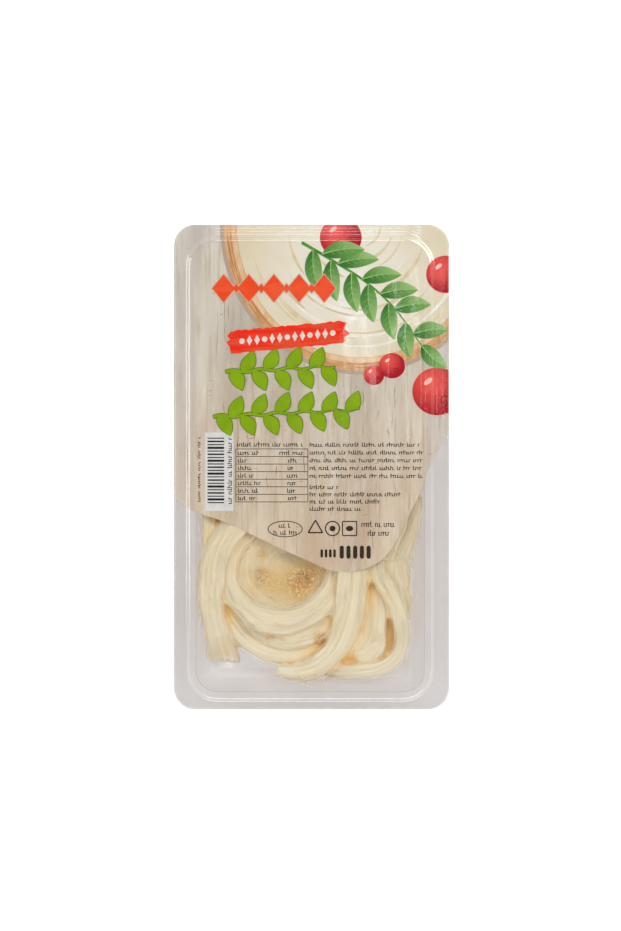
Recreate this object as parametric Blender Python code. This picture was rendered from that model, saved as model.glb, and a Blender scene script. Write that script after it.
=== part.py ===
"""Packed string cheese: a clear tray sealed with a film, and a skein of cheese strands coiled inside.

The pack lies on its tray with the lid up. Lengths are in millimetres until a mesh is made. The long
side runs along Y, the lid faces +Z, and the origin is at the middle of the underside.
"""

import math

import bpy
import numpy as np

MM = 0.001  # metres in a millimetre
GAP = 0.3  # left between pieces that touch

# Pack
PACK_WIDTH = 113.0
PACK_LENGTH = 199.0
PACK_HEIGHT = 25.0
PACK_CORNER = 8.8

# Cavity, measured at its rim
CAVITY_WIDTH = 93.7
CAVITY_LENGTH = 183.2
CAVITY_CORNER = 9.0
CAVITY_CENTRE = (-0.5, -0.6)  # the flange is a little wider on the right and at the top
CORNER_STEPS = 6

# Tray
WALL = 0.6
LIP_DROP = 1.6  # how far the flange's outer edge turns down
EDGE_ROUND = 0.5
SEAL_STEP = 0.5  # the seal land stands this much above the flange round it
SEAL_LAND = 2.4  # width of the seal land
RIM_ROUND = 0.8
WALL_LEAN = 4.2  # how far the wall comes in from the rim to the floor's fillet
FLOOR_FILLET = 4.0
FILLET_STEPS = 4

# Film
FILM = 0.3
FILM_DOME = 0.8  # how far the film swells at the middle
FILM_INSET = 0.3  # the film's edge lies this far inside the flange's
FILM_RINGS = (0.0, 4.0, 10.0, 18.0, 28.0, 39.0)  # distances in from the cavity's rim

FLANGE_TOP = PACK_HEIGHT - FILM_DOME - FILM - GAP

# Cheese
STATION = 6.0  # spacing of the sections along a strand
SECTION_POINTS = 10
SECTION_POWER = 2.5  # 2 is an ellipse, more is boxier
END_TAPER = 9.0  # a strand's end thins over this length
END_WIDTH, END_THICKNESS = 0.9, 0.5  # what is left of it at the very end
SMOOTHING = 7.0  # a strand bridges hollows shorter than this
STEEPEST = math.tan(math.radians(22))  # a strand rolls sideways no further
THINNEST = 0.45  # a strand squeezed under the film keeps this share of its thickness
LAY_GAP = 0.5  # kept under a strand as it is laid, so that the faceted solids stay apart
CELL = 0.5  # of the height map
SAMPLES_ACROSS = 13
HEADROOM = 1.0  # between the highest strand and the film
LOWER_COIL = (-10.0, -42.0)  # centre of the hollow near the tray's lower end
UPPER_COIL = (1.0, 47.0)


def ring_route(centre, radii, start, end, width, points=9):
    """Points (x, y, width) round an ellipse, from one bearing in degrees to another."""
    route = []
    for angle in np.radians(np.linspace(start, end, points)):
        x = centre[0] + radii[0] * math.cos(angle)
        y = centre[1] + radii[1] * math.sin(angle)
        route.append((x, y, width))
    return route


# Each strand, in the order in which they are laid: name, thickness, and its route as (x, y, width).
STRANDS = (
    ("base_lower_coil", 10.0, ring_route(LOWER_COIL, (23, 31), 60, 400, 15, 12)),
    ("base_upper_coil", 9.0, ring_route(UPPER_COIL, (27, 29), 240, 580, 17, 12)),
    ("lower_hollow_floor", 9.0, [(-10, -24, 18), (-10, -33, 26), (-9.5, -46, 28), (-9.5, -60, 20)]),
    ("upper_hollow_floor", 7.0, [(0, 27, 16), (1, 40, 24), (1, 54, 24), (1, 67, 16)]),
    ("right_side_strand", 11.0, [
        (22, -81, 9), (29, -74, 12), (32.5, -60, 13), (34, -44, 13), (35, -26, 13), (34, -8, 12),
        (28, 5, 9),
    ]),
    ("right_upper_strand", 7.0, [
        (36, 0, 5), (37, 14, 8), (36, 34, 8.5), (36, 54, 8.5), (33, 72, 8), (25, 82, 5),
    ]),
    ("left_side_strand", 9.0, [
        (-42.5, -38, 4), (-41.5, -30, 7.5), (-39.5, -18, 10), (-37.5, 0, 10.5), (-36, 26, 9),
        (-36, 50, 8.5), (-33, 68, 8), (-26, 79, 5),
    ]),
    ("upper_band", 4.5, ring_route(UPPER_COIL, (31, 34), 100, 170, 10, 6)),
    ("inner_coil", 3.6, ring_route(LOWER_COIL, (19.5, 20.5), 80, 400, 12, 11)),
    ("lower_band", 4.5, [
        (-40, -40, 6), (-37, -54, 8), (-32.4, -62.5, 8.6), (-27.2, -69.2, 9), (-20.4, -74.4, 9.2),
        (-12.5, -76.8, 9), (-4.5, -76.5, 9.4), (2.5, -72.5, 10), (7, -66, 8),
    ]),
    ("under_ring", 2.6, [
        (-25, -61, 6), (-18, -67.5, 8.5), (-10, -70, 8.5), (-1.5, -68.3, 9), (5, -63.7, 8.5), (9, -57, 6),
    ]),
    ("ring_strand", 4.2, [
        (-13, -21, 7), (-23, -24.5, 9.5), (-30.5, -31, 9), (-33.8, -39, 7.6), (-33.8, -47.5, 7.8),
        (-29, -55.3, 8), (-22, -61, 9.3), (-12, -62.9, 9.8), (-2.4, -60.5, 9.4), (5.4, -54.8, 9.4),
        (9.5, -49, 8.5), (11, -42, 8), (10.5, -34, 6),
    ]),
    ("edge_wisp", 3.0, [
        (40.5, -4, 5), (41.3, -14, 6.5), (40, -25, 8), (36.5, -34, 9.5), (35, -42, 11), (35.5, -50, 10.5),
        (37, -57, 8), (38, -63, 4),
    ]),
    ("folded_strand", 5.0, [
        (23.5, -41, 6), (24.8, -49, 9), (25.4, -57.5, 10.5), (25, -65.5, 11), (23.6, -72.6, 12.5),
        (18.5, -77.6, 10.5), (11.5, -81, 8.5), (4, -82.3, 5),
    ]),
    ("upper_ring_strand", 5.0, ring_route(UPPER_COIL, (22, 24), 130, 420, 11, 11)),
    ("outer_arc", 4.6, [
        (8, 14, 7), (18, 2, 9), (24.5, -12, 8), (26, -27, 7), (27.2, -43, 6), (31, -50, 6),
        (34.6, -56.5, 6), (36.8, -63, 5.6), (37.6, -69.5, 5.4), (36.6, -75.6, 5.6), (33.2, -80.2, 5.6),
        (27.6, -83.2, 5.4), (20.6, -84.1, 4.8), (13, -84.9, 4.4), (5.5, -85, 3.6),
    ]),
    ("tail_strand", 4.2, [
        (24, 66, 6), (33, 52, 9), (32, 34, 10), (20, 18, 10), (2, 4, 10), (-16, -8, 10), (-29, -20, 10),
        (-37, -31, 9.5), (-40.7, -40, 9.2), (-41.3, -48.7, 9), (-41.4, -55, 8.6), (-40.7, -62, 8.4),
        (-39, -69, 9.2), (-37.4, -75, 11), (-36.2, -80.6, 12.8),
    ]),
    ("front_strand", 4.5, [
        (-22, 71, 6), (-8, 80, 10), (10, 80, 10), (26, 68, 11), (30, 48, 11), (24, 22, 12), (19, -4, 12),
        (18, -28, 12), (17.3, -44, 12), (16.2, -54.5, 11.8), (14.8, -62.7, 11.2), (12.7, -69.9, 10),
        (9.8, -75.4, 9.4), (5.2, -80.4, 8.8), (-0.5, -84, 7.6), (-7.5, -84.9, 6), (-14, -83.6, 4.4),
    ]),
    ("crossing_strand", 4.0, [
        (28, -18, 5), (13, -6, 9), (-4, 6, 10), (-20, 20, 10), (-32, 38, 10), (-32, 58, 10), (-22, 74, 6),
    ]),
)


# ---- Scene, materials and meshes ----


def clear_scene():
    for old in list(bpy.data.objects):
        bpy.data.objects.remove(old, do_unlink=True)


def material(name, colour, roughness, alpha=1.0):
    made = bpy.data.materials.new(name)
    made.use_nodes = True
    shader = made.node_tree.nodes["Principled BSDF"]
    shader.inputs["Base Color"].default_value = (*colour, 1.0)
    shader.inputs["Roughness"].default_value = roughness
    shader.inputs["Metallic"].default_value = 0.0
    shader.inputs["Alpha"].default_value = alpha
    return made


def loft(name, rings, finish):
    """One closed solid from rings of equally many points, joined in order and capped at both ends.

    The rings turn counter-clockwise as seen from the far end, so the faces point outwards.
    """
    count = len(rings[0])
    vertices = [tuple(value * MM for value in point) for ring in rings for point in ring]
    faces = [tuple(reversed(range(count)))]
    for level in range(len(rings) - 1):
        for i in range(count):
            j = (i + 1) % count
            low, high = level * count, (level + 1) * count
            faces.append((low + i, low + j, high + j, high + i))
    last = (len(rings) - 1) * count
    faces.append(tuple(range(last, last + count)))
    mesh = bpy.data.meshes.new(name)
    mesh.from_pydata(vertices, [], faces)
    mesh.materials.append(finish)
    mesh.shade_smooth()
    mesh.set_sharp_from_angle(angle=math.radians(40))
    made = bpy.data.objects.new(name, mesh)
    bpy.context.scene.collection.objects.link(made)
    return made


# ---- Tray and film ----


def rounded_rectangle(width, length, radius, centre, height):
    """A level ring of points, counter-clockwise from above."""
    points = []
    for quarter, (side_x, side_y) in enumerate(((1, 1), (-1, 1), (-1, -1), (1, -1))):
        corner_x = centre[0] + side_x * (width / 2 - radius)
        corner_y = centre[1] + side_y * (length / 2 - radius)
        for step in range(CORNER_STEPS + 1):
            angle = math.radians(90 * (quarter + step / CORNER_STEPS))
            points.append((corner_x + radius * math.cos(angle), corner_y + radius * math.sin(angle), height))
    return points


def flange_ring(inset, height):
    """The pack's outline, moved in."""
    radius = PACK_CORNER - inset
    return rounded_rectangle(PACK_WIDTH - 2 * inset, PACK_LENGTH - 2 * inset, radius, (0, 0), height)


def cavity_ring(inset, height):
    """The cavity's rim, moved in, or out where the inset is negative."""
    width, length = CAVITY_WIDTH - 2 * inset, CAVITY_LENGTH - 2 * inset
    return rounded_rectangle(width, length, max(CAVITY_CORNER - inset, 1.0), CAVITY_CENTRE, height)


def tray_skin(offset):
    """Rings down one skin of the tray, from the flange's edge to the floor.

    The inner skin has an offset of 0. The outer skin lies the wall's thickness outside or below it.
    """
    top = FLANGE_TOP - offset
    outer = top - SEAL_STEP
    rings = [
        flange_ring(offset, FLANGE_TOP - SEAL_STEP - LIP_DROP),
        flange_ring(offset, outer - EDGE_ROUND),
        flange_ring(offset + EDGE_ROUND, outer),
        cavity_ring(-SEAL_LAND - SEAL_STEP - offset, outer),
        cavity_ring(-SEAL_LAND - offset, top),
    ]
    for step in range(3):
        angle = math.radians(45 * step)
        outward = offset + RIM_ROUND * (1 - math.sin(angle))
        rings.append(cavity_ring(-outward, top - RIM_ROUND * (1 - math.cos(angle))))
    floor = WALL - offset
    fillet = FLOOR_FILLET + offset
    for step in range(FILLET_STEPS + 1):
        angle = math.radians(90 * step / FILLET_STEPS)
        inset = WALL_LEAN - offset + fillet * (1 - math.cos(angle))
        rings.append(cavity_ring(inset, floor + fillet * (1 - math.sin(angle))))
    return rings


def build_tray(finish):
    outside = tray_skin(WALL)
    outside.reverse()
    return loft("tray", outside + tray_skin(0.0), finish)


def film_skin(lift):
    """Rings across one side of the film, from its edge to its middle."""
    land = FLANGE_TOP + GAP + lift
    outer = land - SEAL_STEP
    rings = [
        flange_ring(FILM_INSET, outer),
        cavity_ring(-SEAL_LAND - SEAL_STEP, outer),
        cavity_ring(-SEAL_LAND, land),
    ]
    for inset in FILM_RINGS:
        share = inset / FILM_RINGS[-1]
        rings.append(cavity_ring(inset, land + FILM_DOME * share * (2 - share)))
    return rings


def build_film(finish):
    below = film_skin(0.0)
    below.reverse()
    return loft("lid_film", below + film_skin(FILM), finish)


# ---- Cheese strands ----


def smooth_route(route, spacing):
    """The route's points joined by a smooth curve and spaced evenly, as an array of x, y and width."""
    points = np.array(route, float)
    before, after = 2 * points[0] - points[1], 2 * points[-1] - points[-2]
    points = np.vstack([before, points, after])
    fine = []
    for p0, p1, p2, p3 in zip(points, points[1:], points[2:], points[3:]):
        for t in np.linspace(0, 1, 24, endpoint=False):
            fine.append(0.5 * (2 * p1 + (p2 - p0) * t + (2 * p0 - 5 * p1 + 4 * p2 - p3) * t**2
                               + (3 * p1 - p0 - 3 * p2 + p3) * t**3))
    fine.append(points[-2])
    fine = np.array(fine)
    along = np.concatenate([[0], np.cumsum(np.hypot(*np.diff(fine[:, :2], axis=0).T))])
    count = max(4, round(along[-1] / spacing)) + 1
    even = np.linspace(0, along[-1], count)
    return np.column_stack([np.interp(even, along, fine[:, k]) for k in range(3)]), even


def sideways(places):
    """The unit vector to the left of the route at each place."""
    ahead = np.gradient(places[:, :2], axis=0)
    ahead /= np.hypot(ahead[:, 0], ahead[:, 1])[:, None]
    return np.column_stack([-ahead[:, 1], ahead[:, 0]])


def bulge(across):
    """Height of a section's surface over its middle plane, as a share of half its thickness.

    The place across the section goes from -1 to 1.
    """
    return (1 - np.abs(across) ** SECTION_POWER) ** (1 / SECTION_POWER)


def tray_height(x, y):
    """Height of the tray's inner skin: its floor, fillet and leaning wall, and the rim's height beyond."""
    beyond_x = np.abs(x - CAVITY_CENTRE[0]) - (CAVITY_WIDTH / 2 - CAVITY_CORNER)
    beyond_y = np.abs(y - CAVITY_CENTRE[1]) - (CAVITY_LENGTH / 2 - CAVITY_CORNER)
    corner = np.hypot(np.maximum(beyond_x, 0), np.maximum(beyond_y, 0))
    inset = CAVITY_CORNER - corner - np.minimum(np.maximum(beyond_x, beyond_y), 0)
    share = np.clip((WALL_LEAN + FLOOR_FILLET - inset) / FLOOR_FILLET, 0, 1)
    fillet = WALL + FLOOR_FILLET * (1 - np.sqrt(1 - share**2))
    wall_foot = WALL + FLOOR_FILLET
    wall = wall_foot + (FLANGE_TOP - wall_foot) * (WALL_LEAN - inset) / WALL_LEAN
    return np.where(inset > WALL_LEAN, fillet, np.clip(wall, wall_foot, FLANGE_TOP))


class HeightMap:
    """How high the tray and the cheese laid so far reach."""

    def __init__(self):
        self.origin = np.array([-PACK_WIDTH / 2, -PACK_LENGTH / 2])
        x, y = np.meshgrid(
            np.arange(self.origin[0], PACK_WIDTH / 2 + CELL, CELL),
            np.arange(self.origin[1], PACK_LENGTH / 2 + CELL, CELL),
            indexing="ij",
        )
        self.top = tray_height(x, y)

    def cells(self, x, y):
        i = np.clip(np.rint((x - self.origin[0]) / CELL).astype(int), 1, self.top.shape[0] - 2)
        j = np.clip(np.rint((y - self.origin[1]) / CELL).astype(int), 1, self.top.shape[1] - 2)
        return i, j

    def under(self, x, y):
        """The highest cell at or beside each point."""
        i, j = self.cells(x, y)
        return np.max([self.top[i + a, j + b] for a in (-1, 0, 1) for b in (-1, 0, 1)], axis=0)

    def stamp(self, x, y, height):
        i, j = self.cells(x, y)
        np.maximum.at(self.top, (i, j), height)


def widest(values, reach):
    """Each value raised to the largest within reach of it."""
    padded = np.pad(values, reach, mode="edge")
    return np.max([padded[k : k + len(values)] for k in range(2 * reach + 1)], axis=0)


def averaged(values, reach):
    padded = np.pad(values, reach, mode="edge")
    return np.mean([padded[k : k + len(values)] for k in range(2 * reach + 1)], axis=0)


def lay_strand(heights, route, thickness, ceiling):
    """Lays a strand on what is under it.

    Returns its places, its left vectors, its middle heights, its rolls and its half thicknesses.
    """
    step = 1.0
    places, along = smooth_route(route, step)
    left = sideways(places)
    from_end = np.minimum(along, along[-1] - along) / END_TAPER
    taper = np.sqrt(np.clip(from_end, 0, 1) * (2 - np.clip(from_end, 0, 1)))
    places[:, 2] *= END_WIDTH + (1 - END_WIDTH) * taper
    half = thickness / 2 * (END_THICKNESS + (1 - END_THICKNESS) * taper)

    across = np.linspace(-1, 1, SAMPLES_ACROSS)
    offset = across[None, :] * places[:, 2:3] / 2
    x = places[:, 0:1] + left[:, 0:1] * offset
    y = places[:, 1:2] + left[:, 1:2] * offset
    support = heights.under(x, y) + LAY_GAP
    needed = support + half[:, None] * bulge(across)
    reach = max(1, round(SMOOTHING / 2 / step))

    side = SAMPLES_ACROSS // 2
    slope = (needed[:, side + 1 :].max(1) - needed[:, :side].max(1)) / places[:, 2]
    roll = averaged(averaged(np.clip(slope, -STEEPEST, STEEPEST), reach), reach)
    middle = averaged(widest((needed - roll[:, None] * offset).max(1), reach), reach)

    squeeze = np.clip((ceiling - (middle - half)) / (2 * half), THINNEST, 1)
    squeeze = averaged(squeeze, reach)
    middle -= half * (1 - squeeze)
    half = half * squeeze

    surface = middle[:, None] + roll[:, None] * offset + half[:, None] * bulge(across)
    heights.stamp(x, y, surface)
    return places, left, middle, roll, half


def strand_rings(laid, spacing):
    """The strand's sections, as rings of points, at about the given spacing."""
    places, left, middle, roll, half = laid
    count = max(4, round((len(places) - 1) / spacing)) + 1
    rings = []
    for k in np.linspace(0, len(places) - 1, count).round().astype(int):
        ring = []
        for point in range(SECTION_POINTS):
            angle = 2 * math.pi * (point + 0.5) / SECTION_POINTS
            cosine, sine = math.cos(angle), math.sin(angle)
            size = (abs(cosine) ** SECTION_POWER + abs(sine) ** SECTION_POWER) ** (-1 / SECTION_POWER)
            offset = size * cosine * places[k, 2] / 2
            x = places[k, 0] + left[k, 0] * offset
            y = places[k, 1] + left[k, 1] * offset
            ring.append((x, y, middle[k] + roll[k] * offset + size * sine * half[k]))
        rings.append(ring)
    return rings


def build_cheese(finish):
    heights = HeightMap()
    ceiling = FLANGE_TOP + GAP - HEADROOM
    for name, thickness, route in STRANDS:
        laid = lay_strand(heights, route, thickness, ceiling)
        loft(name, strand_rings(laid, STATION), finish)


def main():
    clear_scene()
    plastic = material("clear_tray", (0.80, 0.79, 0.80), 0.12, 0.35)
    film = material("lid_film", (0.80, 0.74, 0.66), 0.15, 0.5)
    cheese = material("string_cheese", (0.85, 0.74, 0.52), 0.42)
    build_tray(plastic)
    build_film(film)
    build_cheese(cheese)


main()
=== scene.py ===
"""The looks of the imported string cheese: clear tray, printed lidding film and fibrous cheese strands.

Lengths are in millimetres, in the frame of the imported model, until a mesh is made.
"""

import math

import bmesh
import bpy
import numpy as np
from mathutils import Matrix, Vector


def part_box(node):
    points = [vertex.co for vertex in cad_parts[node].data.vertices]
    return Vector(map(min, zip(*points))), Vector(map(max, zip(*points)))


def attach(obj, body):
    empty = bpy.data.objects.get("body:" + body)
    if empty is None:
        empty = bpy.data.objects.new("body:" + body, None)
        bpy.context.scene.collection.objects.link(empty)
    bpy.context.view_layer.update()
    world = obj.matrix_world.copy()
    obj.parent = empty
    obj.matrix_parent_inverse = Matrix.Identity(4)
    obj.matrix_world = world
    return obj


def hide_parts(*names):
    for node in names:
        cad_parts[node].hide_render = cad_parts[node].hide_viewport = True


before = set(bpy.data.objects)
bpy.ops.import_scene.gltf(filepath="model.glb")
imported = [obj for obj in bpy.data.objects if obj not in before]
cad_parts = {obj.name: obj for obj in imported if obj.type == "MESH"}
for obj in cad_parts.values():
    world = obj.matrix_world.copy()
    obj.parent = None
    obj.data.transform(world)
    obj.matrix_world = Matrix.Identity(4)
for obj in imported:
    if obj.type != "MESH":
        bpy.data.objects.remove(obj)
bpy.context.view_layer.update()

MM = 0.001  # metres in a millimetre

# ---- Sizes, from the frame ----

TRAY_LOW, TRAY_HIGH = (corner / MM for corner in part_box("tray"))
FILM_LOW, FILM_HIGH = (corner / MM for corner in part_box("lid_film"))
PACK_WIDTH = TRAY_HIGH.x - TRAY_LOW.x
PACK_LENGTH = TRAY_HIGH.y - TRAY_LOW.y
FLANGE_TOP = TRAY_HIGH.z
PACK_CORNER = 8.8

CAVITY_WIDTH = PACK_WIDTH - 19.3
CAVITY_LENGTH = PACK_LENGTH - 15.8
CAVITY_CORNER = 9.0
CAVITY_CENTRE = (-0.5, -0.6)

WALL = 0.6
LIP_DROP = 1.6
EDGE_ROUND = 0.5
SEAL_STEP = 0.5
SEAL_LAND = 2.4
STEP_WIDTH = 1.8
RIM_ROUND = 0.8
WALL_LEAN = 4.2
FLOOR_FILLET = 4.0

FILM_GAP = 0.3  # between the flange and the film, where the print lies
FILM = 0.12
FILM_DOME = 0.7
FILM_DOME_REACH = 39.0
FILM_INSET = 0.3
INK_STEP = 0.02  # between one printed layer and the next


# ---- Meshes and materials ----


def mesh_piece(name, vertices, faces, finish, smooth=True):
    """A piece from vertices in millimetres, riding on the pack."""
    mesh = bpy.data.meshes.new(name)
    mesh.from_pydata(np.asarray(vertices, float) * MM, [], faces)
    mesh.materials.append(finish)
    if smooth:
        mesh.shade_smooth()
    made = bpy.data.objects.new(name, mesh)
    bpy.context.scene.collection.objects.link(made)
    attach(made, "root")
    return made


def paint(piece, name, values):
    """An attribute of the piece's vertices, of numbers or of (along, across, seed)."""
    kind, key = ("FLOAT_VECTOR", "vector") if values.ndim == 2 else ("FLOAT", "value")
    made = piece.data.attributes.new(name, kind, "POINT")
    made.data.foreach_set(key, values.astype(np.float32).ravel())


def new_tree(name):
    made = bpy.data.materials.new(name)
    made.use_nodes = True
    made.node_tree.nodes.clear()
    return made, made.node_tree


def add(tree, kind, inputs=None, **settings):
    """A node, with its settings and its sockets' values or links."""
    made = tree.nodes.new(kind)
    for key, value in settings.items():
        setattr(made, key, value)
    for key, value in (inputs or {}).items():
        if isinstance(value, bpy.types.NodeSocket):
            tree.links.new(value, made.inputs[key])
        else:
            made.inputs[key].default_value = value
    return made


def arithmetic(tree, operation, first, second=0.0, third=0.0):
    made = add(tree, "ShaderNodeMath", {0: first, 1: second, 2: third}, operation=operation)
    return made.outputs[0]


def blended(tree, factor, first, second, mode="MIX"):
    """A mix of two colours."""
    made = add(tree, "ShaderNodeMix", data_type="RGBA", blend_type=mode)
    for key, value in ((0, factor), (6, first), (7, second)):
        if isinstance(value, bpy.types.NodeSocket):
            tree.links.new(value, made.inputs[key])
        else:
            made.inputs[key].default_value = value if key == 0 else (*value[:3], 1)
    return made.outputs[2]


def between(tree, value, low, high):
    """0 below low, 1 above high, and smooth between."""
    made = add(tree, "ShaderNodeMapRange", {0: value, 1: low, 2: high}, interpolation_type="SMOOTHSTEP")
    return made.outputs[0]


def noise(tree, vector, scale, detail=2.0, roughness=0.5):
    inputs = {"Vector": vector, "Scale": scale, "Detail": detail, "Roughness": roughness}
    return add(tree, "ShaderNodeTexNoise", inputs).outputs["Fac"]


def stretched(tree, vector, scale):
    return add(tree, "ShaderNodeMapping", {"Vector": vector, "Scale": scale}).outputs[0]


def mirrored(tree, inputs=None):
    """The share of light that a clear sheet mirrors, on either of its faces."""
    away = add(tree, "ShaderNodeLayerWeight", {"Blend": 0.5, **(inputs or {})}).outputs["Facing"]
    return arithmetic(tree, "MULTIPLY_ADD", arithmetic(tree, "POWER", away, 5.0), 0.96, 0.04)


def output(tree, shader):
    add(tree, "ShaderNodeOutputMaterial", {"Surface": shader})


def srgb(red, green, blue):
    """A colour seen as these 0 to 255 values, as linear light."""
    values = []
    for value in (red, green, blue):
        share = value / 255
        values.append(share / 12.92 if share < 0.04045 else ((share + 0.055) / 1.055) ** 2.4)
    return (*values, 1.0)


# ---- Outlines ----


def rounded_rectangle(width, length, radius, centre, steps):
    """Points (x, y), counter-clockwise from the right end of the upper right corner."""
    points = []
    for quarter, (side_x, side_y) in enumerate(((1, 1), (-1, 1), (-1, -1), (1, -1))):
        corner_x = centre[0] + side_x * (width / 2 - radius)
        corner_y = centre[1] + side_y * (length / 2 - radius)
        for step in range(steps + 1):
            angle = math.radians(90 * (quarter + step / steps))
            points.append((corner_x + radius * math.cos(angle), corner_y + radius * math.sin(angle)))
    return points


def flange_outline(inset, steps=14):
    return rounded_rectangle(PACK_WIDTH - 2 * inset, PACK_LENGTH - 2 * inset, PACK_CORNER - inset, (0, 0), steps)


def cavity_outline(inset, steps=14):
    radius = max(CAVITY_CORNER - inset, 1.0)
    return rounded_rectangle(CAVITY_WIDTH - 2 * inset, CAVITY_LENGTH - 2 * inset, radius, CAVITY_CENTRE, steps)


def rim_inset(x, y):
    """Distance in from the cavity's rim, negative outside it."""
    beyond_x = np.abs(x - CAVITY_CENTRE[0]) - (CAVITY_WIDTH / 2 - CAVITY_CORNER)
    beyond_y = np.abs(y - CAVITY_CENTRE[1]) - (CAVITY_LENGTH / 2 - CAVITY_CORNER)
    corner = np.hypot(np.maximum(beyond_x, 0), np.maximum(beyond_y, 0))
    return CAVITY_CORNER - corner - np.minimum(np.maximum(beyond_x, beyond_y), 0)


def smooth_curve(points, per_span=12):
    """A smooth curve through the points, of any number of columns."""
    points = np.array(points, float)
    points = np.vstack([2 * points[0] - points[1], points, 2 * points[-1] - points[-2]])
    fine = []
    for p0, p1, p2, p3 in zip(points, points[1:], points[2:], points[3:]):
        for t in np.linspace(0, 1, per_span, endpoint=False):
            fine.append(0.5 * (2 * p1 + (p2 - p0) * t + (2 * p0 - 5 * p1 + 4 * p2 - p3) * t**2
                               + (3 * p1 - p0 - 3 * p2 + p3) * t**3))
    fine.append(points[-2])
    return np.array(fine)


def smooth_step(value, low, high):
    share = np.clip((value - low) / (high - low), 0, 1)
    return share * share * (3 - 2 * share)


# ---- Tray ----


def clear_plastic():
    """Clear sheet that has gone a little milky where it was drawn, with painted light on its floor and painted shade
    where its rim bends.
    """
    made, tree = new_tree("clear_plastic")
    place = add(tree, "ShaderNodeTexCoord").outputs["Object"]
    cloud = noise(tree, place, 45.0, 3.0)
    milk = between(tree, cloud, 0.3, 0.75)
    height = add(tree, "ShaderNodeSeparateXYZ", {0: place}).outputs["Z"]
    rim = FLANGE_TOP * MM
    # Painted shade: a darker band where the rim bends down into the wall.
    bend = arithmetic(tree, "SUBTRACT", between(tree, height, rim - 2.2 * MM, rim - 0.9 * MM),
                      between(tree, height, rim - 0.9 * MM, rim - 0.1 * MM))
    # Painted light: the colour turns lighter from below the rim down to the floor.
    low = between(tree, height, rim - 3.0 * MM, 2.0 * MM)
    colour = blended(tree, milk, srgb(203, 197, 194), srgb(213, 208, 206))
    colour = blended(tree, low, colour, srgb(221, 218, 217))
    colour = blended(tree, arithmetic(tree, "MULTIPLY", bend, 0.8), colour, srgb(160, 153, 149))
    body = add(tree, "ShaderNodeBsdfPrincipled", {
        "Base Color": colour,
        "Roughness": add(tree, "ShaderNodeMapRange", {0: cloud, 3: 0.10, 4: 0.2}).outputs[0],
        "IOR": 1.55,
    })
    ripple = noise(tree, stretched(tree, place, (60.0, 60.0, 20.0)), 1.0, 2.0)
    bump = add(tree, "ShaderNodeBump", {"Height": ripple, "Strength": 0.10, "Distance": 0.001})
    tree.links.new(bump.outputs[0], body.inputs["Normal"])
    # Painted light: the clear tint is lighter on the floor as well.
    tint = blended(tree, low, (0.880, 0.877, 0.880), (0.890, 0.887, 0.892))
    clear = add(tree, "ShaderNodeBsdfTransparent", {"Color": tint})
    glow = add(tree, "ShaderNodeBsdfTranslucent", {"Color": blended(tree, 0.6, colour, srgb(236, 232, 232))})
    milk_body = add(tree, "ShaderNodeMixShader", {0: 0.55, 1: body.outputs[0], 2: glow.outputs[0]})
    solid = arithmetic(tree, "MULTIPLY_ADD", mirrored(tree), 0.5, 0.48)
    solid = arithmetic(tree, "MINIMUM", solid, 0.85)
    mixed = add(tree, "ShaderNodeMixShader", {0: solid, 1: clear.outputs[0], 2: milk_body.outputs[0]})
    output(tree, mixed.outputs[0])
    return made


def tray_skin(offset):
    """Rings (points, height) down one skin of the tray, from the flange's edge to its floor."""
    top = FLANGE_TOP - offset
    outer = top - SEAL_STEP
    rings = [(flange_outline(offset), FLANGE_TOP - SEAL_STEP - LIP_DROP)]
    for step in range(5):
        angle = math.radians(90 * step / 4)
        inset = offset + EDGE_ROUND * (1 - math.cos(angle))
        rings.append((flange_outline(inset), outer - EDGE_ROUND * (1 - math.sin(angle))))
    for step in range(7):
        share = step / 6
        place = SEAL_LAND + STEP_WIDTH * (1 - share) + offset
        rings.append((cavity_outline(-place), outer + SEAL_STEP * float(smooth_step(share, 0, 1))))
    for step in range(7):
        angle = math.radians(90 * step / 6)
        inset = -offset - RIM_ROUND * (1 - math.sin(angle))
        rings.append((cavity_outline(inset), top - RIM_ROUND * (1 - math.cos(angle))))
    wall_top = top - RIM_ROUND
    floor = WALL - offset
    fillet = FLOOR_FILLET + offset
    for step in range(1, 12):
        share = step / 12
        rings.append((cavity_outline(WALL_LEAN * share - offset), wall_top + (floor + fillet - wall_top) * share))
    for step in range(9):
        angle = math.radians(90 * step / 8)
        inset = WALL_LEAN - offset + fillet * (1 - math.cos(angle))
        rings.append((cavity_outline(inset), floor + fillet * (1 - math.sin(angle))))
    for inset in (14.0, 22.0, 30.0):
        rings.append((cavity_outline(inset - offset), floor))
    return rings


def build_tray():
    outside = tray_skin(WALL)
    outside.reverse()
    rings = outside + tray_skin(0.0)
    count = len(rings[0][0])
    vertices = [(x, y, height) for outline, height in rings for x, y in outline]
    faces = [tuple(reversed(range(count)))]
    for level in range(len(rings) - 1):
        for i in range(count):
            j = (i + 1) % count
            low, high = level * count, (level + 1) * count
            faces.append((low + i, low + j, high + j, high + i))
    faces.append(tuple(range(len(vertices) - count, len(vertices))))
    tray = mesh_piece("tray_shell", vertices, faces, clear_plastic())
    tray.data.set_sharp_from_angle(angle=math.radians(50))
    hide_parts("tray")


# ---- Film ----


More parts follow.
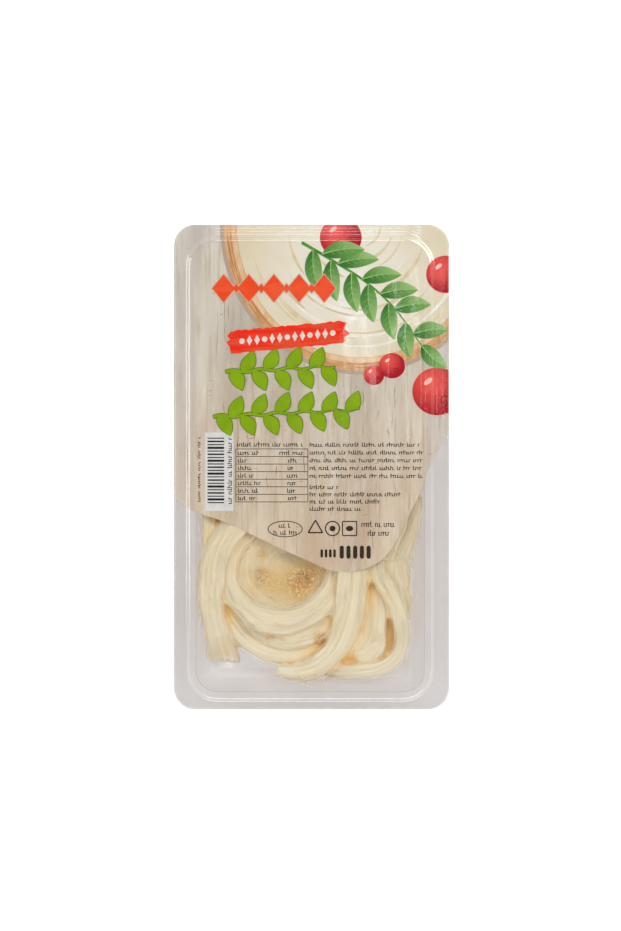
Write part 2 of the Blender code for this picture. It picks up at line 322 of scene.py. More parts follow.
def film_bottom(x, y):
    """Height of the film's underside, with its seal step, its swell, its seal ridges and its slack waves."""
    x, y = np.asarray(x, float), np.asarray(y, float)
    inset = rim_inset(x, y)
    land = FLANGE_TOP + FILM_GAP
    height = land - SEAL_STEP * (1 - smooth_step(inset, -SEAL_LAND - STEP_WIDTH, -SEAL_LAND))
    share = np.clip(inset / FILM_DOME_REACH, 0, 1)
    height = height + FILM_DOME * share * (2 - share)

    free = smooth_step(inset, 0.5, 9.0)
    waves = 0.16 * np.sin(0.085 * x + 0.020 * y + 0.6) * np.sin(0.043 * y - 0.03 * x + 1.1)
    waves += 0.09 * np.sin(0.21 * x - 0.035 * y + 2.0) * smooth_step(y, -30, 60)
    waves += 0.05 * np.sin(0.12 * y + 0.17 * x)
    crease = np.exp(-(((x - 33 + 0.03 * y) / 2.6) ** 2)) * smooth_step(y, 0, 18) * (1 - smooth_step(y, 40, 60))
    pull = np.exp(-(((x + 41) * 0.8 + (y - 68) * 0.35) / 3.4) ** 2) * np.exp(-(((y - 66) / 17) ** 2))
    height = height + free * (waves + 0.14 * crease - 0.2 * pull) - 0.22 * free

    outer = smooth_step(inset, -9.4, -8.4) * (1 - smooth_step(inset, -2.2, -0.6))
    strength = 0.03 + 0.2 * smooth_step(y, 84, 90) * (1 - smooth_step(np.abs(x), 40, 47))
    height = height + outer * strength * (0.5 + 0.5 * np.sin(2 * math.pi * inset / 1.25))
    return height


def cut_lines(low, high, dense, steps):
    """Places to cut a sheet at, with the steps near its low end, in its middle and near its high end."""
    near = np.arange(low, low + dense, steps[0])
    middle = np.arange(low + dense, high - dense, steps[1])
    far = np.arange(high - dense, high, steps[2])
    return np.concatenate([near, middle, far])


def cut_sheet(outline, lines_x, lines_y):
    """A flat polygon cut along a grid, as points (x, y) and faces."""
    grid = bmesh.new()
    grid.faces.new([grid.verts.new((x, y, 0)) for x, y in outline])
    for lines, axis in ((lines_x, 0), (lines_y, 1)):
        low = min(v.co[axis] for v in grid.verts)
        high = max(v.co[axis] for v in grid.verts)
        for line in lines:
            if low < line < high:
                place, normal = [0, 0, 0], [0, 0, 0]
                place[axis], normal[axis] = line, 1
                geometry = [*grid.verts, *grid.edges, *grid.faces]
                bmesh.ops.bisect_plane(grid, geom=geometry, plane_co=place, plane_no=normal)
    bmesh.ops.triangulate(grid, faces=[f for f in grid.faces if len(f.verts) > 4])
    grid.normal_update()
    grid.verts.index_update()
    points = np.array([v.co[:2] for v in grid.verts])
    faces = []
    for face in grid.faces:
        corners = [v.index for v in face.verts]
        faces.append(tuple(corners if face.normal.z > 0 else reversed(corners)))
    grid.free()
    return points, faces


SHEET_X = cut_lines(-PACK_WIDTH / 2, PACK_WIDTH / 2, 14.0, (0.5, 1.6, 0.5))
SHEET_Y = cut_lines(-PACK_LENGTH / 2, PACK_LENGTH / 2, 12.0, (0.5, 1.6, 0.25))


def film_finish():
    """Clear film that shines."""
    made, tree = new_tree("clear_film")
    place = add(tree, "ShaderNodeTexCoord").outputs["Object"]
    fine = noise(tree, stretched(tree, place, (90.0, 50.0, 50.0)), 1.0, 3.0)
    bump = add(tree, "ShaderNodeBump", {"Height": fine, "Strength": 0.12, "Distance": 0.0006})
    shine = add(tree, "ShaderNodeBsdfGlossy", {"Color": (1, 1, 1, 1), "Roughness": 0.06, "Normal": bump.outputs[0]})
    clear = add(tree, "ShaderNodeBsdfTransparent", {"Color": (0.985, 0.985, 0.98, 1)})
    share = mirrored(tree, {"Normal": bump.outputs[0]})
    mixed = add(tree, "ShaderNodeMixShader", {0: share, 1: clear.outputs[0], 2: shine.outputs[0]})
    output(tree, mixed.outputs[0])
    return made


def build_film():
    points, faces = cut_sheet(flange_outline(FILM_INSET), SHEET_X, SHEET_Y)
    below = film_bottom(points[:, 0], points[:, 1])
    count = len(points)
    vertices = np.vstack([np.column_stack([points, below]), np.column_stack([points, below + FILM])])
    edges = {}
    for face in faces:
        for a, b in zip(face, face[1:] + face[:1]):
            edges[(a, b)] = (b, a)
    solid = [tuple(reversed(face)) for face in faces]
    solid += [tuple(corner + count for corner in face) for face in faces]
    rim = [edge for edge, opposite in edges.items() if opposite not in edges]
    for a, b in rim:
        solid.append((a, b, b + count, a + count))
        vertices[a, 2] = FLANGE_TOP - SEAL_STEP + 0.02
    film = mesh_piece("lidding_film", vertices, solid, film_finish())
    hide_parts("lid_film")


# ---- Print ----


def ink(name, colour, second=None, scale=(1, 1, 1), low=0.35, high=0.65):
    """Ink of one colour, with streaks or clouds of a second one."""
    made, tree = new_tree(name)
    place = add(tree, "ShaderNodeTexCoord").outputs["Object"]
    cloud = noise(tree, stretched(tree, place, scale), 1.0, 4.0, 0.6)
    mixed = blended(tree, between(tree, cloud, low, high), colour, second or tuple(0.9 * value for value in colour))
    rough = add(tree, "ShaderNodeMapRange", {0: cloud, 3: 0.45, 4: 0.6}).outputs[0]
    output(tree, ink_layer(tree, mixed, rough))
    return made


def shaded_ink(name, inner, outer, scale=(150, 150, 0)):
    """Ink that turns from one colour to another away from a point, a little clouded."""
    made, tree = new_tree(name)
    place = add(tree, "ShaderNodeTexCoord").outputs["Object"]
    cloud = noise(tree, stretched(tree, place, scale), 1.0, 4.0, 0.6)
    away = add(tree, "ShaderNodeAttribute", attribute_name="shade").outputs["Fac"]
    away = arithmetic(tree, "ADD", away, arithmetic(tree, "MULTIPLY_ADD", cloud, 0.5, -0.25))
    rough = add(tree, "ShaderNodeMapRange", {0: cloud, 3: 0.45, 4: 0.6}).outputs[0]
    output(tree, ink_layer(tree, blended(tree, between(tree, away, 0.0, 1.0), inner, outer), rough))
    return made


def ink_layer(tree, colour, rough):
    """Ink on thin film, which lets some light through to the cheese."""
    body = add(tree, "ShaderNodeBsdfPrincipled", {
        "Base Color": colour,
        "Roughness": rough,
        "Specular IOR Level": 0.05,
    })
    through = add(tree, "ShaderNodeBsdfTranslucent", {"Color": colour})
    return add(tree, "ShaderNodeMixShader", {0: 0.15, 1: body.outputs[0], 2: through.outputs[0]}).outputs[0]


def on_film(outline):
    """The part of a flat shape that lies on the film."""
    border = flange_outline(FILM_INSET, 8)
    for (ax, ay), (bx, by) in zip(border, border[1:] + border[:1]):
        sides = [(bx - ax) * (y - ay) - (by - ay) * (x - ax) for x, y in outline]
        kept = []
        for k, (x, y) in enumerate(outline):
            before_x, before_y = outline[k - 1]
            if (sides[k - 1] > 0) != (sides[k] > 0):
                share = sides[k - 1] / (sides[k - 1] - sides[k])
                kept.append((before_x + share * (x - before_x), before_y + share * (y - before_y)))
            if sides[k] > 0:
                kept.append((x, y))
        outline = kept
    return outline


LAYERS = 14


def printed(name, outlines, layer, finish, shades=None):
    """Flat shapes printed on the film's underside, following its waves.

    Each shade is a point and a reach (x, y, reach), over which its shape's ink turns to its second colour.
    """
    vertices, faces, away = [], [], []
    for k, outline in enumerate(outlines):
        shape = on_film(outline)
        if len(shape) < 3:
            continue
        points, cut = cut_sheet(shape, SHEET_X, SHEET_Y)
        start = len(vertices)
        depth = INK_STEP * (LAYERS - layer)
        heights = film_bottom(points[:, 0], points[:, 1]) - depth
        vertices.extend(zip(points[:, 0], points[:, 1], heights))
        faces.extend(tuple(corner + start for corner in face) for face in cut)
        if shades:
            centre_x, centre_y, reach = shades[k]
            away.extend(np.hypot(points[:, 0] - centre_x, points[:, 1] - centre_y) / reach)
    piece = mesh_piece("print_" + name, vertices, faces, finish)
    if shades:
        paint(piece, "shade", np.array(away))


# The print's lower edge, a long slope from the left and a round tongue to the right
PRINT_EDGE = [
    (-PACK_WIDTH / 2 + FILM_INSET, -12.5), (-49, -17.9), (-37, -22), (-26, -27), (-12.5, -33.4), (-1.4, -38.4),
    (7, -42.1), (15, -43.1), (22.8, -41.4), (28.9, -38), (33, -33), (36.7, -26.6), (40.6, -18.5),
    (44.5, -10.6), (47.4, -2.5), (50.4, 4), (PACK_WIDTH / 2 - FILM_INSET, 15),
]


def wood_finish():
    """Whitewashed boards, printed: upright grain, paler and duskier boards, and dark flecks."""
    made, tree = new_tree("printed_wood")
    place = add(tree, "ShaderNodeTexCoord").outputs["Object"]
    broad = noise(tree, stretched(tree, place, (75.0, 7.0, 0.0)), 1.0, 3.0)
    wash = noise(tree, stretched(tree, place, (160.0, 45.0, 0.0)), 1.0, 5.0, 0.65)
    grain = noise(tree, stretched(tree, place, (780.0, 42.0, 0.0)), 1.0, 4.0, 0.65)
    flecks = noise(tree, stretched(tree, place, (900.0, 190.0, 0.0)), 1.0, 3.0, 0.6)
    across = noise(tree, stretched(tree, place, (150.0, 900.0, 0.0)), 1.0, 3.0, 0.6)
    height = add(tree, "ShaderNodeSeparateXYZ", {0: place})
    warm = between(tree, height.outputs["Y"], 0.075, -0.045)
    pale = blended(tree, warm, srgb(224, 219, 207), srgb(230, 212, 189))
    dusk = blended(tree, warm, srgb(198, 188, 173), srgb(210, 187, 162))
    colour = blended(tree, between(tree, broad, 0.32, 0.7), pale, dusk)
    colour = blended(tree, arithmetic(tree, "MULTIPLY", between(tree, wash, 0.48, 0.68), 0.45), colour,
                     srgb(240, 233, 220))
    for pattern, low, high, weight, dark in (
        (grain, 0.50, 0.70, 0.55, srgb(190, 162, 134)),
        (across, 0.66, 0.74, 0.35, srgb(200, 152, 108)),
        (flecks, 0.69, 0.75, 0.75, srgb(146, 112, 84)),
    ):
        share = arithmetic(tree, "MULTIPLY", between(tree, pattern, low, high), weight)
        colour = blended(tree, share, colour, dark)
    to_side = arithmetic(tree, "ABSOLUTE", arithmetic(tree, "SUBTRACT", height.outputs["X"], CAVITY_CENTRE[0] * MM))
    to_side = arithmetic(tree, "SUBTRACT", to_side, CAVITY_WIDTH / 2 * MM)
    to_end = arithmetic(tree, "SUBTRACT", height.outputs["Y"], (CAVITY_CENTRE[1] + CAVITY_LENGTH / 2) * MM)
    welded = between(tree, arithmetic(tree, "MAXIMUM", to_side, to_end), 0.0, 1.2 * MM)
    colour = blended(tree, arithmetic(tree, "MULTIPLY", welded, 0.45), colour, srgb(206, 198, 196))
    rough = add(tree, "ShaderNodeMapRange", {0: grain, 3: 0.45, 4: 0.6}).outputs[0]
    output(tree, ink_layer(tree, colour, rough))
    return made


def turned(x, y, along, across, turn):
    """The point at along and across from (x, y), turned by an angle in degrees."""
    cosine, sine = math.cos(math.radians(turn)), math.sin(math.radians(turn))
    return (x + along * cosine - across * sine, y + along * sine + across * cosine)


def oval(x, y, radius_x, radius_y=None, turn=0.0, points=36):
    radius_y = radius_x if radius_y is None else radius_y
    outline = []
    for k in range(points):
        angle = 2 * math.pi * k / points
        outline.append(turned(x, y, radius_x * math.cos(angle), radius_y * math.sin(angle), turn))
    return outline


def bar(x, y, length, width, turn=0.0):
    """A straight bar from (x, y)."""
    corners = ((0, -width / 2), (length, -width / 2), (length, width / 2), (0, width / 2))
    return [turned(x, y, along, across, turn) for along, across in corners]


def pill(x, y, length, width, turn=0.0, steps=6):
    """A bar with round ends."""
    outline = []
    radius = width / 2
    for centre, first in ((length - radius, -90), (radius, 90)):
        for step in range(steps + 1):
            angle = math.radians(first + 180 * step / steps)
            outline.append(turned(x, y, centre + radius * math.cos(angle), radius * math.sin(angle), turn))
    return outline


def lozenge(x, y, half_width, half_height):
    return [(x + half_width, y), (x, y + half_height), (x - half_width, y), (x, y - half_height)]


def leaf_lines(x, y, length, width, turn, bend):
    """The lower edge, the midrib and the upper edge of a pointed oval leaf, from its foot at (x, y)."""
    lower, midrib, upper = [], [], []
    for share in np.linspace(0, 1, 15):
        half = width / 2 * math.sin(math.pi * share**0.85) ** 0.8
        middle = bend * length * math.sin(math.pi * share)
        for line, across in ((lower, middle - half), (midrib, middle), (upper, middle + half)):
            line.append(turned(x, y, share * length, across, turn))
    return lower, midrib, upper


def leaf(x, y, length, width, turn, bend=0.0):
    lower, _, upper = leaf_lines(x, y, length, width, turn, bend)
    return lower + upper[-2:0:-1]


def half_leaf(x, y, length, width, turn, bend=0.0):
    lower, midrib, _ = leaf_lines(x, y, length, width, turn, bend)
    return lower + midrib[-2:0:-1]


def stroke(route, width):
    """A line of the given width along a route of points (x, y)."""
    route = np.array(route, float)
    ahead = np.gradient(route, axis=0)
    ahead /= np.hypot(ahead[:, 0], ahead[:, 1])[:, None]
    side = np.column_stack([-ahead[:, 1], ahead[:, 0]])
    half = np.broadcast_to(np.asarray(width, float), len(route))[:, None] / 2
    return [tuple(p) for p in route - side * half] + [tuple(p) for p in (route + side * half)[::-1]]


def arc(x, y, radius_x, radius_y, first, last, width, points=24):
    """A line along an oval, from one bearing in degrees to another, its ends thin if width is a pair."""
    angles = np.radians(np.linspace(first, last, points))
    route = np.column_stack([x + radius_x * np.cos(angles), y + radius_y * np.sin(angles)])
    if isinstance(width, tuple):
        ends, middle = width
        width = ends + (middle - ends) * np.sin(np.linspace(0, math.pi, points))
    return stroke(route, width)


def ring(x, y, radius_x, radius_y, width):
    """An oval line, as two halves."""
    return [arc(x, y, radius_x, radius_y, first, first + 180, width) for first in (0, 180)]


def words(x, y, length, height, rng, turn=0.0):
    """A line of small upright marks in groups, as fine print looks from afar."""
    made, place = [], 0.0
    base = -height / 2
    while place < length:
        end = place + min(rng.uniform(1.6, 6.4), length - place)
        while place < end:
            thick = rng.uniform(0.3, 0.4)
            tall = height * rng.choice((0.68, 0.68, 0.72, 1.0))
            made.append(bar(*turned(x, y, place, base, turn), tall, thick, turn + 90))
            across = rng.uniform(0.55, 0.85)
            level = base + rng.choice((0.12, 0.6 * height))
            made.append(bar(*turned(x, y, place, level, turn), across, 0.24, turn))
            place += across + 0.2
        place += 1.0
    return made


def print_boards(rng):
    """The whitewashed boards, with their seams, cracks and saw marks."""
    lower = smooth_curve(PRINT_EDGE, 6)
    upper = [(x, y) for x, y in flange_outline(FILM_INSET) if y > 50]
    printed("ground", [[tuple(point) for point in lower] + upper], 0, wood_finish())
    cracks, saw_marks = [], []
    for k in range(46):
        x = rng.uniform(-PACK_WIDTH / 2 + 2, PACK_WIDTH / 2 - 2)
        bottom = float(np.interp(x, lower[:, 0], lower[:, 1])) + 1.5
        length = rng.uniform(18, 34) if k < 9 else rng.uniform(2, 9)
        y = rng.uniform(bottom, max(bottom + 1, 96 - length))
        steps = np.linspace(0, 1, 14)
        wander = np.cumsum(rng.normal(0, 0.13, len(steps)))
        width = 0.03 + rng.uniform(0.16, 0.34) * np.sin(np.linspace(0.1, math.pi - 0.1, len(steps)))
        cracks.append(stroke(np.column_stack([x + wander, y + length * steps]), width))
    for _ in range(34):
        x = rng.uniform(-PACK_WIDTH / 2 + 3, PACK_WIDTH / 2 - 6)
        bottom = float(np.interp(x, lower[:, 0], lower[:, 1])) + 3
        saw_marks.append(bar(x, rng.uniform(bottom, 96), rng.uniform(0.8, 2.4), rng.uniform(0.16, 0.3),
                             rng.uniform(-14, 14)))
    printed("cracks", cracks, 1, ink("crack_ink", srgb(158, 126, 98), srgb(186, 154, 124), (300, 160, 0)))
    printed("saw_marks", saw_marks, 1, ink("saw_mark_ink", srgb(205, 146, 96), srgb(182, 132, 92), (300, 300, 0)))


def print_fine_lines(rng, brown):
    """A table of seven rows, two blocks of fine lines, and one fine line up the side."""
    left, top, width, row = -31.0, 7.4, 29.5, 3.1
    fine = [bar(left, top - k * row, width, 0.26) for k in range(8)]
    fine += [bar(x, top - 7 * row, 7 * row, 0.26, 90) for x in (left, left + width)]
    fine += words(left + 0.6, top + 1.9, 27, 1.8, rng)
    for k in range(7):
        middle = top - (k + 0.5) * row
        fine += words(left + 1, middle, rng.uniform(4, 9), 1.75, rng)
        length = rng.uniform(2.4, 4.0) if k else 10.0
        fine += words(left + width - 6.5 - length / 2, middle, length, 1.75, rng)
    for k, length in enumerate((45, 47, 46, 46, 46)):
        fine += words(-0.6, 9.2 - k * 3.2, length, 1.7, rng)
    for k, length in enumerate((11, 38, 28, 21)):
        fine += words(-0.6, -8.2 - k * 2.95, length, 1.75, rng)
    fine += words(-46.1, -14.0, 26, 1.1, rng, 90)
    printed("fine_lines", fine, 2, brown)


def print_stripes(rng):
    """Plain stripes on a white panel."""
    white = ink("panel_ink", srgb(236, 235, 233), srgb(228, 227, 225), (300, 300, 0))
    black = ink("black_ink", srgb(38, 34, 36), srgb(52, 47, 48), (900, 900, 0))
    printed("white_panel", [bar(-43.6, -1.9, 11.6, 32.2)], 2, white)
    widths = (0.45, 0.9, 0.45, 0.65)
    stripes = []
    for k, y in enumerate(np.arange(-14.6, 11.9, 1.32)):
        stripes.append(bar(-42.6, y, 6.8, widths[k % len(widths)]))
    stripes += words(-33.6, -15.0, 26.5, 1.9, rng, 90)
    printed("stripes", stripes, 3, black)


def print_marks(rng, brown):
    """Small marks in a row: an oval, a triangle, a round and a square, lines, and two bold groups of bars."""
    marks = ring(-10.8, -25.4, 7.0, 3.2, 0.35)
    marks += words(-13.2, -24.0, 4.6, 1.8, rng) + words(-15.4, -26.8, 9.2, 1.9, rng)
    for turn in (0, 120, 240):
        corner = turned(1.6, -25.2, 3.4, 0, turn + 210)
        marks.append(bar(*corner, 5.9, 0.55, turn))
    marks += ring(8.6, -25.2, 2.9, 2.9, 0.5)
    marks.append(oval(8.6, -25.2, 1.2))
    for turn in (0, 90, 180, 270):
        corner = turned(15.6, -25.2, 2.9, -2.9, turn)
        marks.append(bar(*corner, 5.8, 0.45, turn + 90))
    marks.append(oval(15.6, -25.2, 1.5, 1.1))
    marks += words(20.6, -23.4, 13.2, 2.3, rng) + words(23.2, -27.0, 8.6, 2.3, rng)
    printed("small_marks", marks, 2, brown)
    bold = [pill(4.2 + 1.75 * k, -37.1, 3.4, 1.05, 90) for k in range(4)]
    bold += [pill(12.4 + 2.75 * k, -37.6, 5.4, 1.7, 90) for k in range(5)]
    printed("bold_bars", bold, 2, ink("dark_ink", srgb(52, 38, 34), srgb(66, 50, 42), (900, 900, 0)))


PLATTER = (20.0, PACK_LENGTH / 2, 56.0, 60.0)  # its middle and its radii
PLATTER_RIM = 5.4


def print_platter(rng):
    """A round wooden platter of smooth cream, which hangs over the pack's upper and right edges."""
    x, y, radius_x, radius_y = PLATTER

    def disc(inset):
        return oval(x, y, radius_x - inset, radius_y - inset, 0, 120)

    tan = ink("tan_ink", srgb(236, 190, 140), srgb(214, 158, 104), (300, 70, 0))
    pale_tan = ink("pale_tan_ink", srgb(244, 214, 176), srgb(228, 186, 140), (260, 80, 0))
    shade = shaded_ink("shade_ink", srgb(150, 120, 112), srgb(196, 174, 156))
    cream = shaded_ink("cream_ink", srgb(250, 246, 234), srgb(232, 218, 186), (60, 110, 0))
    printed("platter_shade", [disc(-1.6)], 1, shade, [(x, y, radius_y + 6)])
    printed("platter_rim", [disc(0)], 2, tan)
    printed("platter_cream", [disc(PLATTER_RIM)], 3, cream, [(x - 6, y - 20, radius_y)])
    grain, lip = [], [arc(x, y, radius_x - 4.2, radius_y - 4.2, 170, 370, 2.0, 90)]
    for _ in range(34):
        inset = rng.uniform(0.6, 3.0)
        first = rng.uniform(178, 345)
        grain.append(arc(x, y, radius_x - inset, radius_y - inset, first, first + rng.uniform(5, 22), (0.05, 0.4)))
    printed("platter_lip", lip, 5, pale_tan)
    printed("rim_grain", grain, 4, ink("rim_grain_ink", srgb(196, 138, 88), srgb(206, 152, 104), (200, 200, 0)))
    dim, bright = [], []
    for k in range(30):
        share = 0.96 * ((k + 0.7) / 30) ** 0.6
        first = rng.uniform(170, 320)
        spin = rng.uniform(25, 75)
        size = share * (radius_x - PLATTER_RIM - 1), share * (radius_y - PLATTER_RIM - 1)
        (dim if k % 2 else bright).append(arc(x, y, *size, first, first + spin, (0.05, rng.uniform(0.8, 2.4))))
    dim_ink = ink("cream_hollow_ink", srgb(226, 206, 164), srgb(238, 226, 198), (120, 120, 0))
    bright_ink = ink("cream_swirl_ink", srgb(254, 252, 246), srgb(246, 240, 224), (120, 120, 0))
    printed("cream_hollows", dim, 4, dim_ink)
    printed("cream_swirls", bright, 5, bright_ink)


def print_sprig():
    """A sprig of slender leaves across the platter."""
    stem = smooth_curve([(-4, 92), (8, 85), (22, 76), (34, 65), (45, 50)], 10)
    stem_green = ink("stem_ink", srgb(92, 168, 62), srgb(70, 140, 50), (160, 160, 0))
    printed("stem", [stroke(stem, np.linspace(1.3, 0.5, len(stem)))], 8, stem_green)
    leaves, halves, veins, shades = [], [], [], []
    for k, share in enumerate(np.linspace(0.10, 1.0, 13)):
        place = stem[int(share * (len(stem) - 1))]
        side = 1 if k % 2 else -1
        turn = -38 + side * (44 if k < 12 else 4)
        length = 18.5 - 4.5 * share
        shape = (*place, length, 7.0, turn, 0.06 * side)
        leaves.append(leaf(*shape))
        halves.append(half_leaf(*shape))
        shades.append((*place, length))
        _, midrib, _ = leaf_lines(*shape)
        veins.append(stroke(midrib, np.linspace(0.45, 0.1, len(midrib))))
        for step in (3, 5, 7, 9):
            for out in (-1, 1):
                reach = 0.36 * 7.0 * math.sin(math.pi * step / 14) ** 0.8
                veins.append(bar(*midrib[step], reach, 0.14, turn + out * 48))
    printed("leaves", leaves, 9, shaded_ink("leaf_ink", srgb(84, 148, 58), srgb(168, 204, 130)), shades)
    printed("leaf_halves", halves, 10, shaded_ink("leaf_half_ink", srgb(58, 122, 48), srgb(124, 176, 92)), shades)
    printed("leaf_veins", veins, 11, ink("vein_ink", srgb(176, 214, 140), srgb(150, 200, 120), (200, 200, 0)))


def print_berries():
    """Glossy red berries, some cut off by the pack's edge."""
    berries = ((12, 94, 8.6), (55, 79, 8.0), (51.5, 31, 10.2), (33, 41.5, 5.4), (25.6, 37.6, 4.2))
    red = shaded_ink("berry_ink", srgb(246, 92, 84), srgb(186, 14, 36))
    shine = ink("berry_shine_ink", srgb(255, 226, 216), srgb(252, 202, 190), (200, 200, 0))
    dark = ink("berry_crown_ink", srgb(150, 20, 30), srgb(120, 12, 26), (200, 200, 0))
    round_berries = [oval(x, y, r, 0.96 * r, 0, 48) for x, y, r in berries]
    printed("berries", round_berries, 6, red, [(x - 0.3 * r, y + 0.35 * r, 1.35 * r) for x, y, r in berries])
    printed("berry_shine", [oval(x - 0.36 * r, y + 0.4 * r, 0.2 * r, 0.1 * r, 40) for x, y, r in berries], 7, shine)
    crowns = []
    for x, y, r in berries:
        crowns += ring(x + 0.3 * r, y - 0.32 * r, 0.15 * r, 0.12 * r, 0.05 * r)
    printed("berry_crowns", crowns, 7, dark)


def print_lozenges():
    """An orange band of lozenges, thinly edged."""
    orange = ink("orange_ink", srgb(255, 98, 54), srgb(252, 78, 30), (60, 160, 0))
    edge = ink("lozenge_edge_ink", srgb(214, 176, 156), srgb(226, 196, 180), (200, 200, 0))
    places = [(-36.0 + 10.3 * k, 4.7, 5.7) for k in range(5)] + [(-30.85 + 10.3 * k, 1.5, 1.9) for k in range(4)]
    for name, grow, layer, finish in (("lozenge_edges", 0.5, 12, edge), ("lozenges", 0.0, 13, orange)):
        printed(name, [lozenge(x, 73.2, wide + grow, tall + grow) for x, wide, tall in places], layer, finish)


def print_brush_stroke(rng):
    """A ragged red brush stroke that rises a little to the right, with a row of white shapes on it."""
    rise = 0.09

    def middle(x):
        return 53.2 + (x + 10) * rise

    upper, lower = [], []
    for x in np.linspace(-33, 12.5, 40):
        upper.append((x, middle(x) + 4.6 + rng.uniform(-0.35, 0.35)))
        lower.append((x, middle(x) - 4.6 + rng.uniform(-0.35, 0.35)))
    left = [(-33.6, 49.4), (-35.0, 51.2), (-33.2, 52.2), (-34.6, 53.8)]
    right = [(13.8, 51.6), (13.2, 53.0), (15.6, 54.6), (13.4, 56.8), (14.4, 59.0)]
    outline = [*lower, *right, *upper[::-1], *left[::-1]]
    red = ink("brush_ink", srgb(255, 44, 12), srgb(246, 84, 52), (60, 420, 0), 0.4, 0.62)
    white = ink("white_ink", srgb(248, 240, 230), srgb(236, 226, 214), (200, 200, 0))
    printed("brush_stroke", [outline], 7, red)
    shapes = []
    for k, x in enumerate(np.arange(-28.5, 9.5, 3.1)):
        shapes.append(lozenge(x, middle(x), 1.15, 2.1) if k % 3 else oval(x, middle(x), 1.15, 1.15))
    printed("brush_shapes", shapes, 8, white)


def print_garlands():
    """Two garlands of broad green leaves on a wavy stem, thinly edged."""

    def sway(along):
        return 0.05 * along + 0.5 * math.sin(0.55 * along)

    edge = ink("garland_edge_ink", srgb(100, 132, 16), srgb(110, 142, 22), (200, 200, 0))
    green = ink("garland_ink", srgb(150, 186, 6), srgb(138, 176, 0), (120, 120, 0))
    for name, grow, layer, finish in (("garland_edges", 0.35, 9, edge), ("garlands", 0.0, 10, green)):
        shapes = []
        for first, last, level, count in ((-35, 7.5, 39.0, 9), (-40, 17.5, 20.6, 12)):
            step = (last - first) / count
            for k in range(count):
                x = first + (k + 0.3) * step
                turn = 58 if k % 2 else -56
                foot = turned(x, level + sway(x - first), 0.4 - grow, 0, turn)
                shapes.append(leaf(*foot, 9.2 + 2 * grow, 5.4 + 2 * grow, turn, -0.09 if k % 2 else 0.09))
            line = [(x, level + sway(x - first)) for x in np.linspace(first - grow, last + 2 + grow, 40)]
            shapes.append(stroke(line, np.linspace(1.1, 0.5, 40) + 2 * grow))
        printed(name, shapes, layer, finish)


def build_print():
    rng = np.random.RandomState(5)
    brown = ink("brown_ink", srgb(52, 36, 28), srgb(68, 50, 40), (900, 900, 0))
    print_boards(rng)
    print_fine_lines(rng, brown)
    print_stripes(rng)
    print_marks(rng, brown)
    print_platter(rng)
    print_sprig()
    print_berries()
    print_lozenges()
    print_brush_stroke(rng)
    print_garlands()


# ---- Cheese ----

SECTION_POWER = 2.5
END_TAPER = 9.0
END_WIDTH, END_THICKNESS = 0.9, 0.5
SMOOTHING = 7.0
STEEPEST = math.tan(math.radians(22))
THINNEST = 0.45
LAY_GAP = 0.5
CELL = 0.5
SAMPLES_ACROSS = 13
HEADROOM = 1.0
SPREAD, PRESS, SAG = 0.5, 0.4, 1.3  # a strand is wider, higher and deeper than the bare solid by these
SLANTS = {"tail_strand": (0.0, 0.28)}  # how far the cut at either end slants
LOWER_COIL = (-10.0, -42.0)
UPPER_COIL = (1.0, 47.0)


def ring_route(centre, radii, start, end, width, points=9):
    """Points (x, y, width) round an ellipse, from one bearing in degrees to another."""
    route = []
    for angle in np.radians(np.linspace(start, end, points)):
        x = centre[0] + radii[0] * math.cos(angle)
        y = centre[1] + radii[1] * math.sin(angle)
        route.append((x, y, width))
    return route


